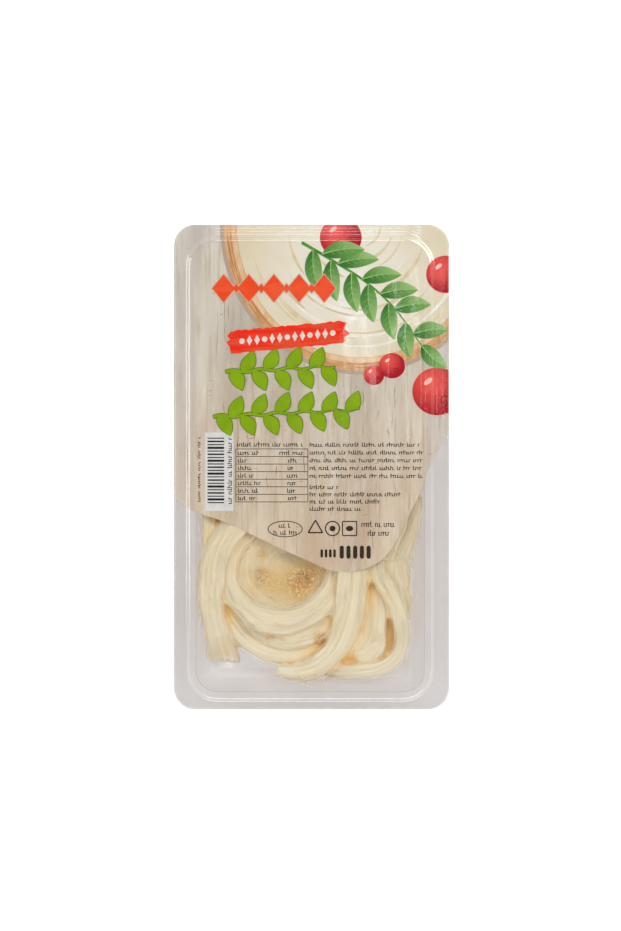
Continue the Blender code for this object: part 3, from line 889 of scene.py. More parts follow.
STRANDS = (
    ("base_lower_coil", 10.0, ring_route(LOWER_COIL, (23, 31), 60, 400, 15, 12)),
    ("base_upper_coil", 9.0, ring_route(UPPER_COIL, (27, 29), 240, 580, 17, 12)),
    ("lower_hollow_floor", 9.0, [(-10, -24, 18), (-10, -33, 26), (-9.5, -46, 28), (-9.5, -60, 20)]),
    ("upper_hollow_floor", 7.0, [(0, 27, 16), (1, 40, 24), (1, 54, 24), (1, 67, 16)]),
    ("right_side_strand", 11.0, [
        (22, -81, 9), (29, -74, 12), (32.5, -60, 13), (34, -44, 13), (35, -26, 13), (34, -8, 12),
        (28, 5, 9),
    ]),
    ("right_upper_strand", 7.0, [
        (36, 0, 5), (37, 14, 8), (36, 34, 8.5), (36, 54, 8.5), (33, 72, 8), (25, 82, 5),
    ]),
    ("left_side_strand", 9.0, [
        (-42.5, -38, 4), (-41.5, -30, 7.5), (-39.5, -18, 10), (-37.5, 0, 10.5), (-36, 26, 9),
        (-36, 50, 8.5), (-33, 68, 8), (-26, 79, 5),
    ]),
    ("upper_band", 4.5, ring_route(UPPER_COIL, (31, 34), 100, 170, 10, 6)),
    ("inner_coil", 3.6, ring_route(LOWER_COIL, (19.5, 20.5), 80, 400, 12, 11)),
    ("lower_band", 4.5, [
        (-40, -40, 6), (-37, -54, 8), (-32.4, -62.5, 8.6), (-27.2, -69.2, 9), (-20.4, -74.4, 9.2),
        (-12.5, -76.8, 9), (-4.5, -76.5, 9.4), (2.5, -72.5, 10), (7, -66, 8),
    ]),
    ("under_ring", 2.6, [
        (-25, -61, 6), (-18, -67.5, 8.5), (-10, -70, 8.5), (-1.5, -68.3, 9), (5, -63.7, 8.5), (9, -57, 6),
    ]),
    ("ring_strand", 4.2, [
        (-13, -21, 7), (-23, -24.5, 9.5), (-30.5, -31, 9), (-33.8, -39, 7.6), (-33.8, -47.5, 7.8),
        (-29, -55.3, 8), (-22, -61, 9.3), (-12, -62.9, 9.8), (-2.4, -60.5, 9.4), (5.4, -54.8, 9.4),
        (9.5, -49, 8.5), (11, -42, 8), (10.5, -34, 6),
    ]),
    ("edge_wisp", 3.0, [
        (40.5, -4, 5), (41.3, -14, 6.5), (40, -25, 8), (36.5, -34, 9.5), (35, -42, 11), (35.5, -50, 10.5),
        (37, -57, 8), (38, -63, 4),
    ]),
    ("folded_strand", 5.0, [
        (23.5, -41, 6), (24.8, -49, 9), (25.4, -57.5, 10.5), (25, -65.5, 11), (23.6, -72.6, 12.5),
        (18.5, -77.6, 10.5), (11.5, -81, 8.5), (4, -82.3, 5),
    ]),
    ("upper_ring_strand", 5.0, ring_route(UPPER_COIL, (22, 24), 130, 420, 11, 11)),
    ("outer_arc", 4.6, [
        (8, 14, 7), (18, 2, 9), (24.5, -12, 8), (26, -27, 7), (27.2, -43, 6), (31, -50, 6),
        (34.6, -56.5, 6), (36.8, -63, 5.6), (37.6, -69.5, 5.4), (36.6, -75.6, 5.6), (33.2, -80.2, 5.6),
        (27.6, -83.2, 5.4), (20.6, -84.1, 4.8), (13, -84.9, 4.4), (5.5, -85, 3.6),
    ]),
    ("tail_strand", 4.2, [
        (24, 66, 6), (33, 52, 9), (32, 34, 10), (20, 18, 10), (2, 4, 10), (-16, -8, 10), (-29, -20, 10),
        (-37, -31, 9.5), (-40.7, -40, 9.2), (-41.3, -48.7, 9), (-41.4, -55, 8.6), (-40.7, -62, 8.4),
        (-39, -69, 9.2), (-37.4, -75, 11), (-36.2, -80.6, 12.8),
    ]),
    ("front_strand", 4.5, [
        (-22, 71, 6), (-8, 80, 10), (10, 80, 10), (26, 68, 11), (30, 48, 11), (24, 22, 12), (19, -4, 12),
        (18, -28, 12), (17.3, -44, 12), (16.2, -54.5, 11.8), (14.8, -62.7, 11.2), (12.7, -69.9, 10),
        (9.8, -75.4, 9.4), (5.2, -80.4, 8.8), (-0.5, -84, 7.6), (-7.5, -84.9, 6), (-14, -83.6, 4.4),
    ]),
    ("crossing_strand", 4.0, [
        (28, -18, 5), (13, -6, 9), (-4, 6, 10), (-20, 20, 10), (-32, 38, 10), (-32, 58, 10), (-22, 74, 6),
    ]),
)
HIDDEN = ("base_lower_coil", "base_upper_coil", "upper_hollow_floor", "right_upper_strand", "upper_band",
          "upper_ring_strand", "crossing_strand")


def tray_height(x, y):
    """Height of the tray's inner skin."""
    inset = rim_inset(x, y)
    share = np.clip((WALL_LEAN + FLOOR_FILLET - inset) / FLOOR_FILLET, 0, 1)
    fillet = WALL + FLOOR_FILLET * (1 - np.sqrt(1 - share**2))
    wall_foot = WALL + FLOOR_FILLET
    wall = wall_foot + (FLANGE_TOP - wall_foot) * (WALL_LEAN - inset) / WALL_LEAN
    return np.where(inset > WALL_LEAN, fillet, np.clip(wall, wall_foot, FLANGE_TOP))


def even_route(route, spacing):
    fine = smooth_curve(route, 24)
    along = np.concatenate([[0], np.cumsum(np.hypot(*np.diff(fine[:, :2], axis=0).T))])
    count = max(4, round(along[-1] / spacing)) + 1
    even = np.linspace(0, along[-1], count)
    return np.column_stack([np.interp(even, along, fine[:, k]) for k in range(3)]), even


def sideways(places):
    ahead = np.gradient(places[:, :2], axis=0)
    ahead /= np.hypot(ahead[:, 0], ahead[:, 1])[:, None]
    return np.column_stack([-ahead[:, 1], ahead[:, 0]])


def bulge(across):
    return (1 - np.abs(across) ** SECTION_POWER) ** (1 / SECTION_POWER)


class HeightMap:
    """How high the tray and the cheese laid so far reach."""

    def __init__(self):
        self.origin = np.array([-PACK_WIDTH / 2, -PACK_LENGTH / 2])
        x, y = np.meshgrid(
            np.arange(self.origin[0], PACK_WIDTH / 2 + CELL, CELL),
            np.arange(self.origin[1], PACK_LENGTH / 2 + CELL, CELL),
            indexing="ij",
        )
        self.top = tray_height(x, y)

    def cells(self, x, y):
        i = np.clip(np.rint((x - self.origin[0]) / CELL).astype(int), 1, self.top.shape[0] - 2)
        j = np.clip(np.rint((y - self.origin[1]) / CELL).astype(int), 1, self.top.shape[1] - 2)
        return i, j

    def at(self, x, y):
        return self.top[self.cells(x, y)]

    def under(self, x, y):
        """The highest cell at or beside each point."""
        i, j = self.cells(x, y)
        return np.max([self.top[i + a, j + b] for a in (-1, 0, 1) for b in (-1, 0, 1)], axis=0)

    def stamp(self, x, y, height):
        i, j = self.cells(x, y)
        np.maximum.at(self.top, (i, j), height)


def widest(values, reach):
    padded = np.pad(values, reach, mode="edge")
    return np.max([padded[k : k + len(values)] for k in range(2 * reach + 1)], axis=0)


def averaged(values, reach):
    padded = np.pad(values, reach, mode="edge")
    return np.mean([padded[k : k + len(values)] for k in range(2 * reach + 1)], axis=0)


def lay_strand(heights, route, thickness, ceiling):
    """Lays a strand on what is under it. Returns its places, left vectors, middle heights, rolls and thicknesses."""
    step = 1.0
    places, along = even_route(route, step)
    left = sideways(places)
    from_end = np.minimum(along, along[-1] - along) / END_TAPER
    taper = np.sqrt(np.clip(from_end, 0, 1) * (2 - np.clip(from_end, 0, 1)))
    places[:, 2] *= END_WIDTH + (1 - END_WIDTH) * taper
    half = thickness / 2 * (END_THICKNESS + (1 - END_THICKNESS) * taper)

    across = np.linspace(-1, 1, SAMPLES_ACROSS)
    offset = across[None, :] * places[:, 2:3] / 2
    x = places[:, 0:1] + left[:, 0:1] * offset
    y = places[:, 1:2] + left[:, 1:2] * offset
    support = heights.under(x, y) + LAY_GAP
    needed = support + half[:, None] * bulge(across)
    reach = max(1, round(SMOOTHING / 2 / step))

    side = SAMPLES_ACROSS // 2
    slope = (needed[:, side + 1 :].max(1) - needed[:, :side].max(1)) / places[:, 2]
    roll = averaged(averaged(np.clip(slope, -STEEPEST, STEEPEST), reach), reach)
    middle = averaged(widest((needed - roll[:, None] * offset).max(1), reach), reach)

    squeeze = np.clip((ceiling - (middle - half)) / (2 * half), THINNEST, 1)
    squeeze = averaged(squeeze, reach)
    middle -= half * (1 - squeeze)
    half = half * squeeze

    surface = middle[:, None] + roll[:, None] * offset + half[:, None] * bulge(across)
    heights.stamp(x, y, surface)
    return places, left, middle, roll, half


LATTICE = 256


def value_noise(u, v, seed):
    """Smooth noise from -1 to 1 over two coordinates."""
    table = np.random.RandomState(seed).uniform(-1, 1, (LATTICE, LATTICE))
    iu, iv = np.floor(u).astype(int), np.floor(v).astype(int)
    fu, fv = u - iu, v - iv
    fu, fv = fu * fu * (3 - 2 * fu), fv * fv * (3 - 2 * fv)
    iu, iv = iu % LATTICE, iv % LATTICE
    ju, jv = (iu + 1) % LATTICE, (iv + 1) % LATTICE
    low = table[iu, iv] * (1 - fu) + table[ju, iv] * fu
    high = table[iu, jv] * (1 - fu) + table[ju, jv] * fu
    return low * (1 - fv) + high * fv


def resampled(values, count):
    """An array's rows spread evenly over another number of rows."""
    old, new = np.linspace(0, 1, len(values)), np.linspace(0, 1, count)
    if values.ndim == 1:
        return np.interp(new, old, values)
    return np.column_stack([np.interp(new, old, column) for column in values.T])


# Raised lips: how far out toward the strand's left, how wide and how high
LIPS = {"ring_strand": (0.62, 0.14, 0.5)}
# Ripples across a strand: x, y, reach and height
RIPPLES = {"ring_strand": (8.6, -52.6, 2.6, 0.28), "front_strand": (11.5, -57.5, 2.2, 0.14)}


def strand_surface(laid, name, seed, spacing, around, folds):
    """The strand's fibrous skin: points (stations, around, 3), and its grain (along, across, seed)."""
    places, left, middle, roll, half = laid
    count = max(8, round((len(places) - 1) / spacing)) + 1
    length = float(len(places) - 1)
    places, left, middle, roll, half = (resampled(a, count) for a in (places, left, middle, roll, half))
    left /= np.hypot(left[:, 0], left[:, 1])[:, None]
    along = np.linspace(0, length, count)[:, None]
    turn = np.linspace(0, 2 * math.pi, around, endpoint=False)[None, :] - math.pi / 2
    turn = turn + 0.35 * np.sin(2 * turn)
    cosine, sine = np.cos(turn), np.sin(turn)
    size = (np.abs(cosine) ** SECTION_POWER + np.abs(sine) ** SECTION_POWER) ** (-1 / SECTION_POWER)
    across = size * cosine
    width = places[:, 2:3] / 2 + SPREAD
    height = half[:, None] + np.where(sine > 0, PRESS, SAG)
    offset = across * width
    up = size * sine * height
    edge = np.abs(across) ** 3

    # It swells here and there, is folded lengthwise, and bundles and fibres run along it
    swell = value_noise(along / 14, offset / 7, seed)
    bundles = value_noise(along / 38, offset / 2.4 + 40, seed + 1)
    fibres = value_noise(along / 20, offset / 0.9 + 80, seed + 2)
    threads = value_noise(along / 12, offset / 0.45 + 120, seed + 3)
    relief = 0.35 * swell + 0.20 * bundles + 0.085 * fibres + 0.03 * threads
    rng = np.random.RandomState(seed)
    for fold in range(folds):
        middle_line = rng.uniform(-0.7, 0.7) + 0.3 * value_noise(along / 30, 9.0 * fold, seed + 4)
        depth = 0.55 * smooth_step(value_noise(along / 24, 5.0 + 7.0 * fold, seed + 5), -0.3, 0.5)
        relief = relief - depth * np.exp(-(((across - middle_line) * width / 0.65) ** 2))
    if name in LIPS:
        lip_place, lip_width, lip_height = LIPS[name]
        relief = relief + lip_height * np.exp(-(((across - lip_place) / lip_width) ** 2))
    if name in RIPPLES:
        ripple_x, ripple_y, reach, ripple_height = RIPPLES[name]
        away = np.hypot(places[:, 0:1] + left[:, 0:1] * offset - ripple_x,
                        places[:, 1:2] + left[:, 1:2] * offset - ripple_y) / reach
        relief = relief + ripple_height * np.sin(2 * math.pi * along / 1.1) * np.exp(-(away**2))
    up = up + relief * np.sign(sine) * np.abs(sine) ** 0.6
    ragged = 0.6 * value_noise(along / 12, np.sign(cosine) * 3, seed + 6)
    ragged = ragged + 0.25 * value_noise(along / 4.5, np.sign(cosine) * 3 + sine, seed + 7)
    offset = offset + ragged * edge * np.sign(cosine)

    # Its ends are torn along the fibres
    ahead = np.column_stack([left[:, 1], -left[:, 0]])
    tear = 0.9 * value_noise(offset / 1.1, up / 1.6, seed + 8)
    shift = np.zeros(offset.shape)
    slant = SLANTS.get(name, (0.0, 0.0))
    for from_end, outward, tilt in ((along, -1, slant[0]), (length - along, 1, slant[1])):
        shift = shift + np.clip(1 - from_end / 7, 0, 1) ** 1.5 * outward * (tear + tilt * offset)
    x = places[:, 0:1] + left[:, 0:1] * offset + ahead[:, 0:1] * shift
    y = places[:, 1:2] + left[:, 1:2] * offset + ahead[:, 1:2] * shift
    z = middle[:, None] + roll[:, None] * offset + up
    ceiling = film_bottom(x, y) - INK_STEP * LAYERS - 0.15
    z = np.minimum(z, ceiling)
    z = np.maximum(z, tray_height(x, y) + 0.05)
    grain = np.stack([along + 0 * offset, offset + 0.6 * up, np.full(offset.shape, float(seed))], axis=-1)
    return np.stack([x, y, z], axis=-1), grain


def grid_faces(rows, columns, start):
    """Faces of a tube with closed ends, as arrays of corners."""
    i, j = np.meshgrid(np.arange(rows - 1), np.arange(columns), indexing="ij")
    a = start + i * columns + j
    b = start + i * columns + (j + 1) % columns
    return np.stack([a, b, b + columns, a + columns], axis=-1).reshape(-1, 4)


# Where amber whey has gathered, and where shaded gaps are painted amber: x, y, radius and strength (a negative one
# paints a spot paler)
WHEY_AND_GAP_SHADE = (
    (3.4, -70.8, 2.2, 2.8), (-8.5, -81.6, 1.6, 0.6), (-3.0, -81.0, 1.6, 0.6), (0.8, -77.5, 1.4, 0.5),
    (32.6, -66.5, 3.4, 0.22), (31.6, -73.5, 3.0, 0.36), (29.0, -78.0, 2.6, 0.8), (25.2, -48.5, 2.2, 0.7),
    (-38.8, -21.5, 2.4, 1.0), (20.8, -61.0, 1.8, 0.45), (19.6, -67.0, 1.8, 0.5), (17.0, -77.5, 3.0, -0.4),
    (12.2, -80.2, 1.5, 0.8), (-34.5, -60.0, 2.2, 0.3), (-29.5, -62.5, 2.0, 0.4), (-26.0, -66.0, 2.2, 0.5),
    (-22.0, -69.4, 2.4, 0.55), (-17.0, -71.4, 2.4, 0.5), (-12.0, -71.8, 1.8, 0.3), (35.5, -38.0, 2.2, 0.35),
    (33.0, -31.0, 1.6, 0.5), (9.6, -52.0, 2.6, 0.4), (9.0, -44.0, 2.0, 0.35), (-30.8, -42.5, 2.6, 0.5),
)


NEIGHBOUR_DROP = 4.5  # cheese no farther below a point than this counts as beside it


def hollows(points, heights):
    """How deep each point lies below the cheese round it, how much amber whey and painted gap shade lie there, and
    how much cheese is beside it, from 0 to 1."""
    x, y, z = points[..., 0], points[..., 1], points[..., 2]
    hidden, beside = np.zeros(x.shape), np.zeros(x.shape)
    for bearing in np.arange(0, math.pi, math.pi / 6):
        sides = []
        for way in (bearing, bearing + math.pi):
            steepest = np.zeros(x.shape)
            for reach in (1.2, 2.4, 4.0, 7.0):
                rise = heights.at(x + reach * math.cos(way), y + reach * math.sin(way)) - z
                steepest = np.maximum(steepest, rise / (reach + 0.8))
                beside += (rise > -NEIGHBOUR_DROP) / 48
            sides.append(np.arctan(steepest) / (math.pi / 2))
        hidden += np.minimum(*sides) / 6
    whey_and_painted_shade = np.zeros(x.shape)
    # Amber whey and painted gap shade, stronger where a point lies in a crease.
    for place_x, place_y, radius, strength in WHEY_AND_GAP_SHADE:
        away = np.hypot(x - place_x, y - place_y) / radius
        whey_and_painted_shade += strength * np.exp(-(away**2)) * (0.3 + 0.7 * smooth_step(hidden, 0.0, 0.1))
    return np.clip(hidden, 0, 1), np.clip(whey_and_painted_shade, 0, 1), smooth_step(beside, 0.62, 0.9)


def cheese_finish(name, scatter):
    """Moist cream-coloured cheese: pale fibres, yellower between them, amber where whey gathers, with painted shade:
    darker near the print's edge, yellow-amber in creases and on flanks beside other cheese, and amber in shaded
    gaps.
    """
    made, tree = new_tree(name)
    grain = add(tree, "ShaderNodeAttribute", attribute_name="grain").outputs["Vector"]
    hollow = add(tree, "ShaderNodeAttribute", attribute_name="hollow").outputs["Fac"]
    whey_and_painted_shade = add(tree, "ShaderNodeAttribute", attribute_name="whey_and_painted_shade").outputs["Fac"]
    place = add(tree, "ShaderNodeTexCoord").outputs["Object"]
    streaks = noise(tree, stretched(tree, grain, (0.035, 0.75, 1.0)), 1.0, 3.0, 0.55)
    fibres = noise(tree, stretched(tree, grain, (0.09, 2.6, 1.0)), 1.0, 3.0, 0.6)
    clouds = noise(tree, place, 55.0, 3.0, 0.5)
    toward_end = add(tree, "ShaderNodeSeparateXYZ", {0: place}).outputs["Y"]
    # Painted shade: darker and warmer near the print's edge, paler toward the pack's lower end.
    away_from_print_shade = between(tree, toward_end, -0.046, -0.082)
    warm = blended(tree, between(tree, streaks, 0.34, 0.68), srgb(228, 213, 180), srgb(235, 224, 198))
    pale = blended(tree, between(tree, streaks, 0.34, 0.68), srgb(235, 223, 196), srgb(244, 235, 213))
    colour = blended(tree, away_from_print_shade, warm, pale)
    colour = blended(tree, arithmetic(tree, "MULTIPLY", between(tree, fibres, 0.5, 0.75), 0.4), colour,
                     srgb(246, 239, 222))
    colour = blended(tree, arithmetic(tree, "MULTIPLY", between(tree, clouds, 0.5, 0.78), 0.45), colour,
                     srgb(231, 211, 172))
    # Painted shade: cheese deep in creases, by its hollow attribute, is tinted yellow-amber.
    crease_shade_depth = arithmetic(tree, "MULTIPLY_ADD", fibres, 0.16, hollow)
    painted_crease_shade = arithmetic(tree, "MULTIPLY", between(tree, crease_shade_depth, 0.12, 0.42), 0.7)
    colour = blended(tree, painted_crease_shade, colour, srgb(248, 212, 146))
    # Painted shade: steep flanks with cheese beside them are tinted warm amber.
    upright = add(tree, "ShaderNodeSeparateXYZ", {0: add(tree, "ShaderNodeNewGeometry").outputs["Normal"]})
    painted_flank_shade = between(tree, upright.outputs["Z"], 0.82, 0.3)
    beside = add(tree, "ShaderNodeAttribute", attribute_name="beside").outputs["Fac"]
    painted_flank_shade = arithmetic(tree, "MULTIPLY", painted_flank_shade, beside)
    colour = blended(tree, arithmetic(tree, "MULTIPLY", painted_flank_shade, 0.75), colour, srgb(252, 210, 140))
    # Painted shade: the amber of whey and of shaded gaps, mottled by clouds.
    mottled = arithmetic(tree, "MULTIPLY", whey_and_painted_shade, arithmetic(tree, "MULTIPLY_ADD", clouds, 1.2, 0.4))
    colour = blended(tree, between(tree, mottled, 0.0, 0.6), colour, srgb(224, 194, 138))
    colour = blended(tree, between(tree, mottled, 0.6, 1.1), colour, srgb(212, 160, 90))
    specks = noise(tree, place, 1100.0, 2.0, 0.6)
    for low, high, tone in ((0.51, 0.62, srgb(196, 144, 84)), (0.44, 0.34, srgb(255, 244, 216))):
        share = arithmetic(tree, "MULTIPLY", between(tree, specks, low, high), between(tree, mottled, 0.35, 0.8))
        colour = blended(tree, arithmetic(tree, "MULTIPLY", share, 0.6), colour, tone)
    rough = add(tree, "ShaderNodeMapRange", {0: clouds, 1: 0.3, 2: 0.7, 3: 0.34, 4: 0.5}).outputs[0]
    relief = arithmetic(tree, "ADD", fibres, arithmetic(tree, "MULTIPLY", streaks, 0.7))
    bump = add(tree, "ShaderNodeBump", {"Height": relief, "Strength": 0.3, "Distance": 0.0005})
    body = add(tree, "ShaderNodeBsdfPrincipled", {
        "Base Color": colour,
        "Roughness": rough,
        "IOR": 1.42,
        "Specular IOR Level": 0.12,
        "Subsurface Weight": scatter,
        "Subsurface Radius": (1.0, 0.98, 0.92),
        "Subsurface Scale": 0.0014,
        "Normal": bump.outputs[0],
    }, subsurface_method="RANDOM_WALK")
    output(tree, body.outputs[0])
    return made


def build_cheese():
    heights = HeightMap()
    ceiling = FLANGE_TOP + FILM_GAP - HEADROOM
    surfaces = []
    for index, (name, thickness, route) in enumerate(STRANDS):
        laid = lay_strand(heights, route, thickness, ceiling)
        coarse = name in HIDDEN
        spacing, around = (1.6, 56) if coarse else (0.55 if name in RIPPLES else 0.9, 104)
        folds = 0 if "floor" in name else 3
        points, grain = strand_surface(laid, name, 11 + 7 * index, spacing, around, folds)
        if "floor" in name:
            grain[..., 0] *= 6
        surfaces.append((name, points, grain))
    skin = HeightMap()
    for _, points, _ in surfaces:
        for dense in (points, (points[1:] + points[:-1]) / 2):
            skin.stamp(dense[..., 0], dense[..., 1], dense[..., 2])
    bare = HeightMap()
    bare.top = np.where(skin.top > bare.top + 0.3, skin.top, -FLANGE_TOP)
    finish = cheese_finish("string_cheese", 0.6)
    for name, points, grain in surfaces:
        rows, columns = points.shape[:2]
        faces = [tuple(face) for face in grid_faces(rows, columns, 0).tolist()]
        last = (rows - 1) * columns
        vertices = points.reshape(-1, 3)
        ends = []
        for first in (0, last):
            ends.append(vertices[first : first + columns].mean(axis=0))
        vertices = np.vstack([vertices, ends])
        for j in range(columns):
            k = (j + 1) % columns
            faces.append((rows * columns, k, j))
            faces.append((rows * columns + 1, last + j, last + k))
        piece = mesh_piece("cheese_" + name, vertices, faces, finish)
        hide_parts(name)
        for attribute, values in zip(("hollow", "whey_and_painted_shade", "beside"), hollows(vertices, bare)):
            paint(piece, attribute, values)
        grain = grain.reshape(-1, 3)
        paint(piece, "grain", np.vstack([grain, grain[0], grain[-1]]))
    build_curd(skin, cheese_finish("wet_curd", 0.0))
    skin = build_bowl(skin, finish)
    build_fibres(skin)
    build_bubbles(skin)
    build_crack_shade(skin)


def spread_over(grid, reach, pick):
    """Each cell of a grid given the highest or lowest, or the mean, of a square round it."""
    for axis in (0, 1):
        width = [(0, 0), (0, 0)]
        width[axis] = (reach, reach)
        padded = np.pad(grid, width, mode="edge")
        count = grid.shape[axis]
        grid = pick([padded.take(range(k, k + count), axis=axis) for k in range(2 * reach + 1)], axis=0)
    return grid


def build_curd(skin, finish):
    """Soft wet curd at the bottom of the gaps between the strands."""
    cheese = skin.top > HeightMap().top + 1.0
    inside = spread_over(spread_over(cheese.astype(float), 4, np.max), 9, np.min) > 0.5
    level = spread_over(spread_over(spread_over(skin.top, 2, np.max), 2, np.min), 1, np.mean) - 0.6
    gap = inside & (level > skin.top + 0.15)
    wanted = spread_over(gap.astype(float), 2, np.max) > 0.5
    index = -np.ones(wanted.shape, int)
    cells = np.argwhere(wanted)
    index[wanted] = np.arange(len(cells))
    x = skin.origin[0] + cells[:, 0] * CELL
    y = skin.origin[1] + cells[:, 1] * CELL
    bumps = 0.18 * value_noise(x / 1.6, y / 1.6, 301) + 0.3 * value_noise(x / 5, y / 5, 302)
    z = np.maximum(level[wanted] + bumps, tray_height(x, y) + 0.1)
    z = np.minimum(z, film_bottom(x, y) - INK_STEP * LAYERS - 0.3)
    quads = index[:-1, :-1], index[1:, :-1], index[1:, 1:], index[:-1, 1:]
    whole = np.all([q >= 0 for q in quads], axis=0)
    faces = np.stack([q[whole] for q in quads], axis=-1)
    count = len(x)
    below = np.maximum(z - 1.5, tray_height(x, y) + 0.05)
    vertices = np.vstack([np.column_stack([x, y, z]), np.column_stack([x, y, below])])
    solid = [tuple(face) for face in faces.tolist()] + [tuple(face[::-1] + count) for face in faces]
    edges = {(face[k], face[(k + 1) % 4]) for face in faces.tolist() for k in range(4)}
    solid += [(b, a, a + count, b + count) for a, b in edges if (b, a) not in edges]
    piece = mesh_piece("curd_in_gaps", vertices, solid, finish)
    hollow, whey_and_painted_shade, _ = hollows(vertices, skin)
    # Painted shade: the curd in the gaps gets extra crease tint.
    paint(piece, "hollow", hollow + 0.1)
    paint(piece, "whey_and_painted_shade", whey_and_painted_shade)
    paint(piece, "grain", np.column_stack([vertices[:, 1], vertices[:, 0], np.full(len(vertices), 77.0)]))


# The bowl of soft curd inside the lower coil: its lowest height, how far its rim lies below the ring's crest,
# and its whey and painted shade as x, y, radius and strength: a darker amber right side, and a negative spot that
# paints its upper part paler
BOWL_FLOOR = 15.2
BOWL_RIM = 0.35
BOWL_WHEY_AND_SHADE = (
    (-10.0, -44.0, 17.0, 0.34), (-4.0, -48.5, 6.5, 0.75), (2.0, -43.0, 5.0, 0.3), (-16.5, -48.5, 4.0, 0.35),
    (-20.8, -45.0, 3.0, 0.6), (-24.5, -51.0, 3.0, 0.22), (-28.0, -44.0, 3.0, 0.16), (-20.5, -36.0, 1.6, 0.4),
    (-9.0, -33.0, 7.0, -0.14),
)


def build_bowl(skin, finish):
    """A soft bowl of curd that rises to the ring all round, with a low fold along its left side."""
    bearings = np.radians(np.arange(0, 360, 2.0))
    ring_places, _ = even_route(dict((name, route) for name, _, route in STRANDS)["ring_strand"], 1.0)
    out = ring_places[:, :2] - LOWER_COIL
    turn = np.arctan2(out[:, 1], out[:, 0])
    order = np.argsort(turn)
    inner = np.hypot(out[:, 0], out[:, 1]) - 0.26 * ring_places[:, 2]
    edge = np.interp(bearings, turn[order], inner[order], period=2 * math.pi)
    edge = averaged(np.concatenate([edge, edge, edge]), 6)[len(edge) : 2 * len(edge)]
    rim_x = LOWER_COIL[0] + edge * np.cos(bearings)
    rim_y = LOWER_COIL[1] + edge * np.sin(bearings)
    rim = np.minimum(skin.at(rim_x, rim_y), 21.0) - BOWL_RIM
    rim = averaged(np.concatenate([rim, rim, rim]), 10)[len(rim) : 2 * len(rim)]
    shares = np.linspace(0.02, 1.0, 44)[:, None]
    x = LOWER_COIL[0] + shares * edge * np.cos(bearings)
    y = LOWER_COIL[1] + shares * edge * np.sin(bearings)
    z = BOWL_FLOOR + (rim - BOWL_FLOOR) * shares**2.4
    facing = np.clip(np.cos(bearings - math.radians(200)), 0, 1)
    z = z + 0.9 * facing * np.exp(-(((shares - 0.74) / 0.07) ** 2))
    z = z + 0.35 * value_noise(x / 4.5, y / 4.5, 401) + 0.16 * value_noise(x / 1.3, y / 1.3, 402)
    around = bearings * 22 + 0 * shares
    z = z + 0.18 * value_noise(around / 14, shares * 16, 403) * smooth_step(shares, 0.3, 0.7)
    z = np.minimum(z, film_bottom(x, y) - INK_STEP * LAYERS - 0.3)
    upper = np.stack([x, y, z], axis=-1).reshape(-1, 3)
    lower = upper - (0, 0, 1.4)
    count, columns = len(upper), len(bearings)
    faces = []
    for level in range(len(shares) - 1):
        for i in range(columns):
            j = (i + 1) % columns
            a, b, c, d = (level * columns + i, (level + 1) * columns + i, (level + 1) * columns + j,
                          level * columns + j)
            faces += [(a, b, c, d), (d + count, c + count, b + count, a + count)]
    last = count - columns
    for i in range(columns):
        j = (i + 1) % columns
        faces.append((last + i, last + i + count, last + j + count, last + j))
    faces.append(tuple(range(columns)))
    faces.append(tuple(range(count + columns - 1, count - 1, -1)))
    vertices = np.vstack([upper, lower])
    piece = mesh_piece("curd_bowl", vertices, faces, finish)
    whey_and_painted_shade = np.zeros(len(vertices))
    # Whey and painted shade in the bowl: a darker amber right side and a paler upper part.
    for place_x, place_y, radius, strength in BOWL_WHEY_AND_SHADE:
        away = np.hypot(vertices[:, 0] - place_x, vertices[:, 1] - place_y) / radius
        whey_and_painted_shade += strength * np.exp(-(away**2))
    # Painted shade: the bowl gets half its crease tint plus a little everywhere.
    paint(piece, "hollow", 0.5 * hollows(vertices, skin)[0] + 0.06)
    paint(piece, "whey_and_painted_shade", np.clip(whey_and_painted_shade, 0, 1))
    grain = np.stack([around, shares * edge, np.full(x.shape, 55.0)], axis=-1).reshape(-1, 3)
    paint(piece, "grain", np.vstack([grain, grain]))
    fresh = HeightMap()
    fresh.top = skin.top.copy()
    fresh.stamp(x, y, z)
    return fresh


FIBRE_SIDES = 4


def tube(route, radius):
    """Vertices and faces of a thin tube along a route (x, y, z), tapered at its ends."""
    route = np.asarray(route)
    count = len(route)
    ahead = np.gradient(route, axis=0)
    ahead /= np.linalg.norm(ahead, axis=1)[:, None]
    side = np.cross(ahead, (0, 0, 1))
    side /= np.linalg.norm(side, axis=1)[:, None]
    over = np.cross(side, ahead)
    share = np.linspace(0, 1, count)
    radii = radius * (0.25 + 0.75 * np.sqrt(np.clip(np.sin(math.pi * share), 0, 1)))
    vertices = []
    for k in range(FIBRE_SIDES):
        angle = 2 * math.pi * k / FIBRE_SIDES
        vertices.append(route + radii[:, None] * (math.cos(angle) * side + math.sin(angle) * over))
    vertices = np.stack(vertices, axis=1).reshape(-1, 3)
    faces = [tuple(face) for face in grid_faces(count, FIBRE_SIDES, 0).tolist()]
    faces.append(tuple(range(FIBRE_SIDES)))
    faces.append(tuple(reversed(range(len(vertices) - FIBRE_SIDES, len(vertices)))))
    return vertices, faces


def rest_on(skin, x, y, lift, slack=3):
    """Heights for a thread along (x, y) that rests on the cheese and bridges what is narrow."""
    under = skin.under(x, y) + lift
    under = averaged(widest(under, slack), slack)
    return np.minimum(under, film_bottom(x, y) - INK_STEP * LAYERS - 0.2)


def fibre_finish():
    made, tree = new_tree("loose_fibre")
    place = add(tree, "ShaderNodeTexCoord").outputs["Object"]
    cloud = noise(tree, place, 120.0, 2.0)
    body = add(tree, "ShaderNodeBsdfPrincipled", {
        "Base Color": blended(tree, cloud, srgb(246, 232, 198), srgb(250, 243, 222)),
        "Roughness": add(tree, "ShaderNodeMapRange", {0: cloud, 3: 0.35, 4: 0.55}).outputs[0],
        "Subsurface Weight": 0.5,
        "Subsurface Radius": (1.0, 0.7, 0.38),
        "Subsurface Scale": 0.0006,
    })
    output(tree, body.outputs[0])
    return made


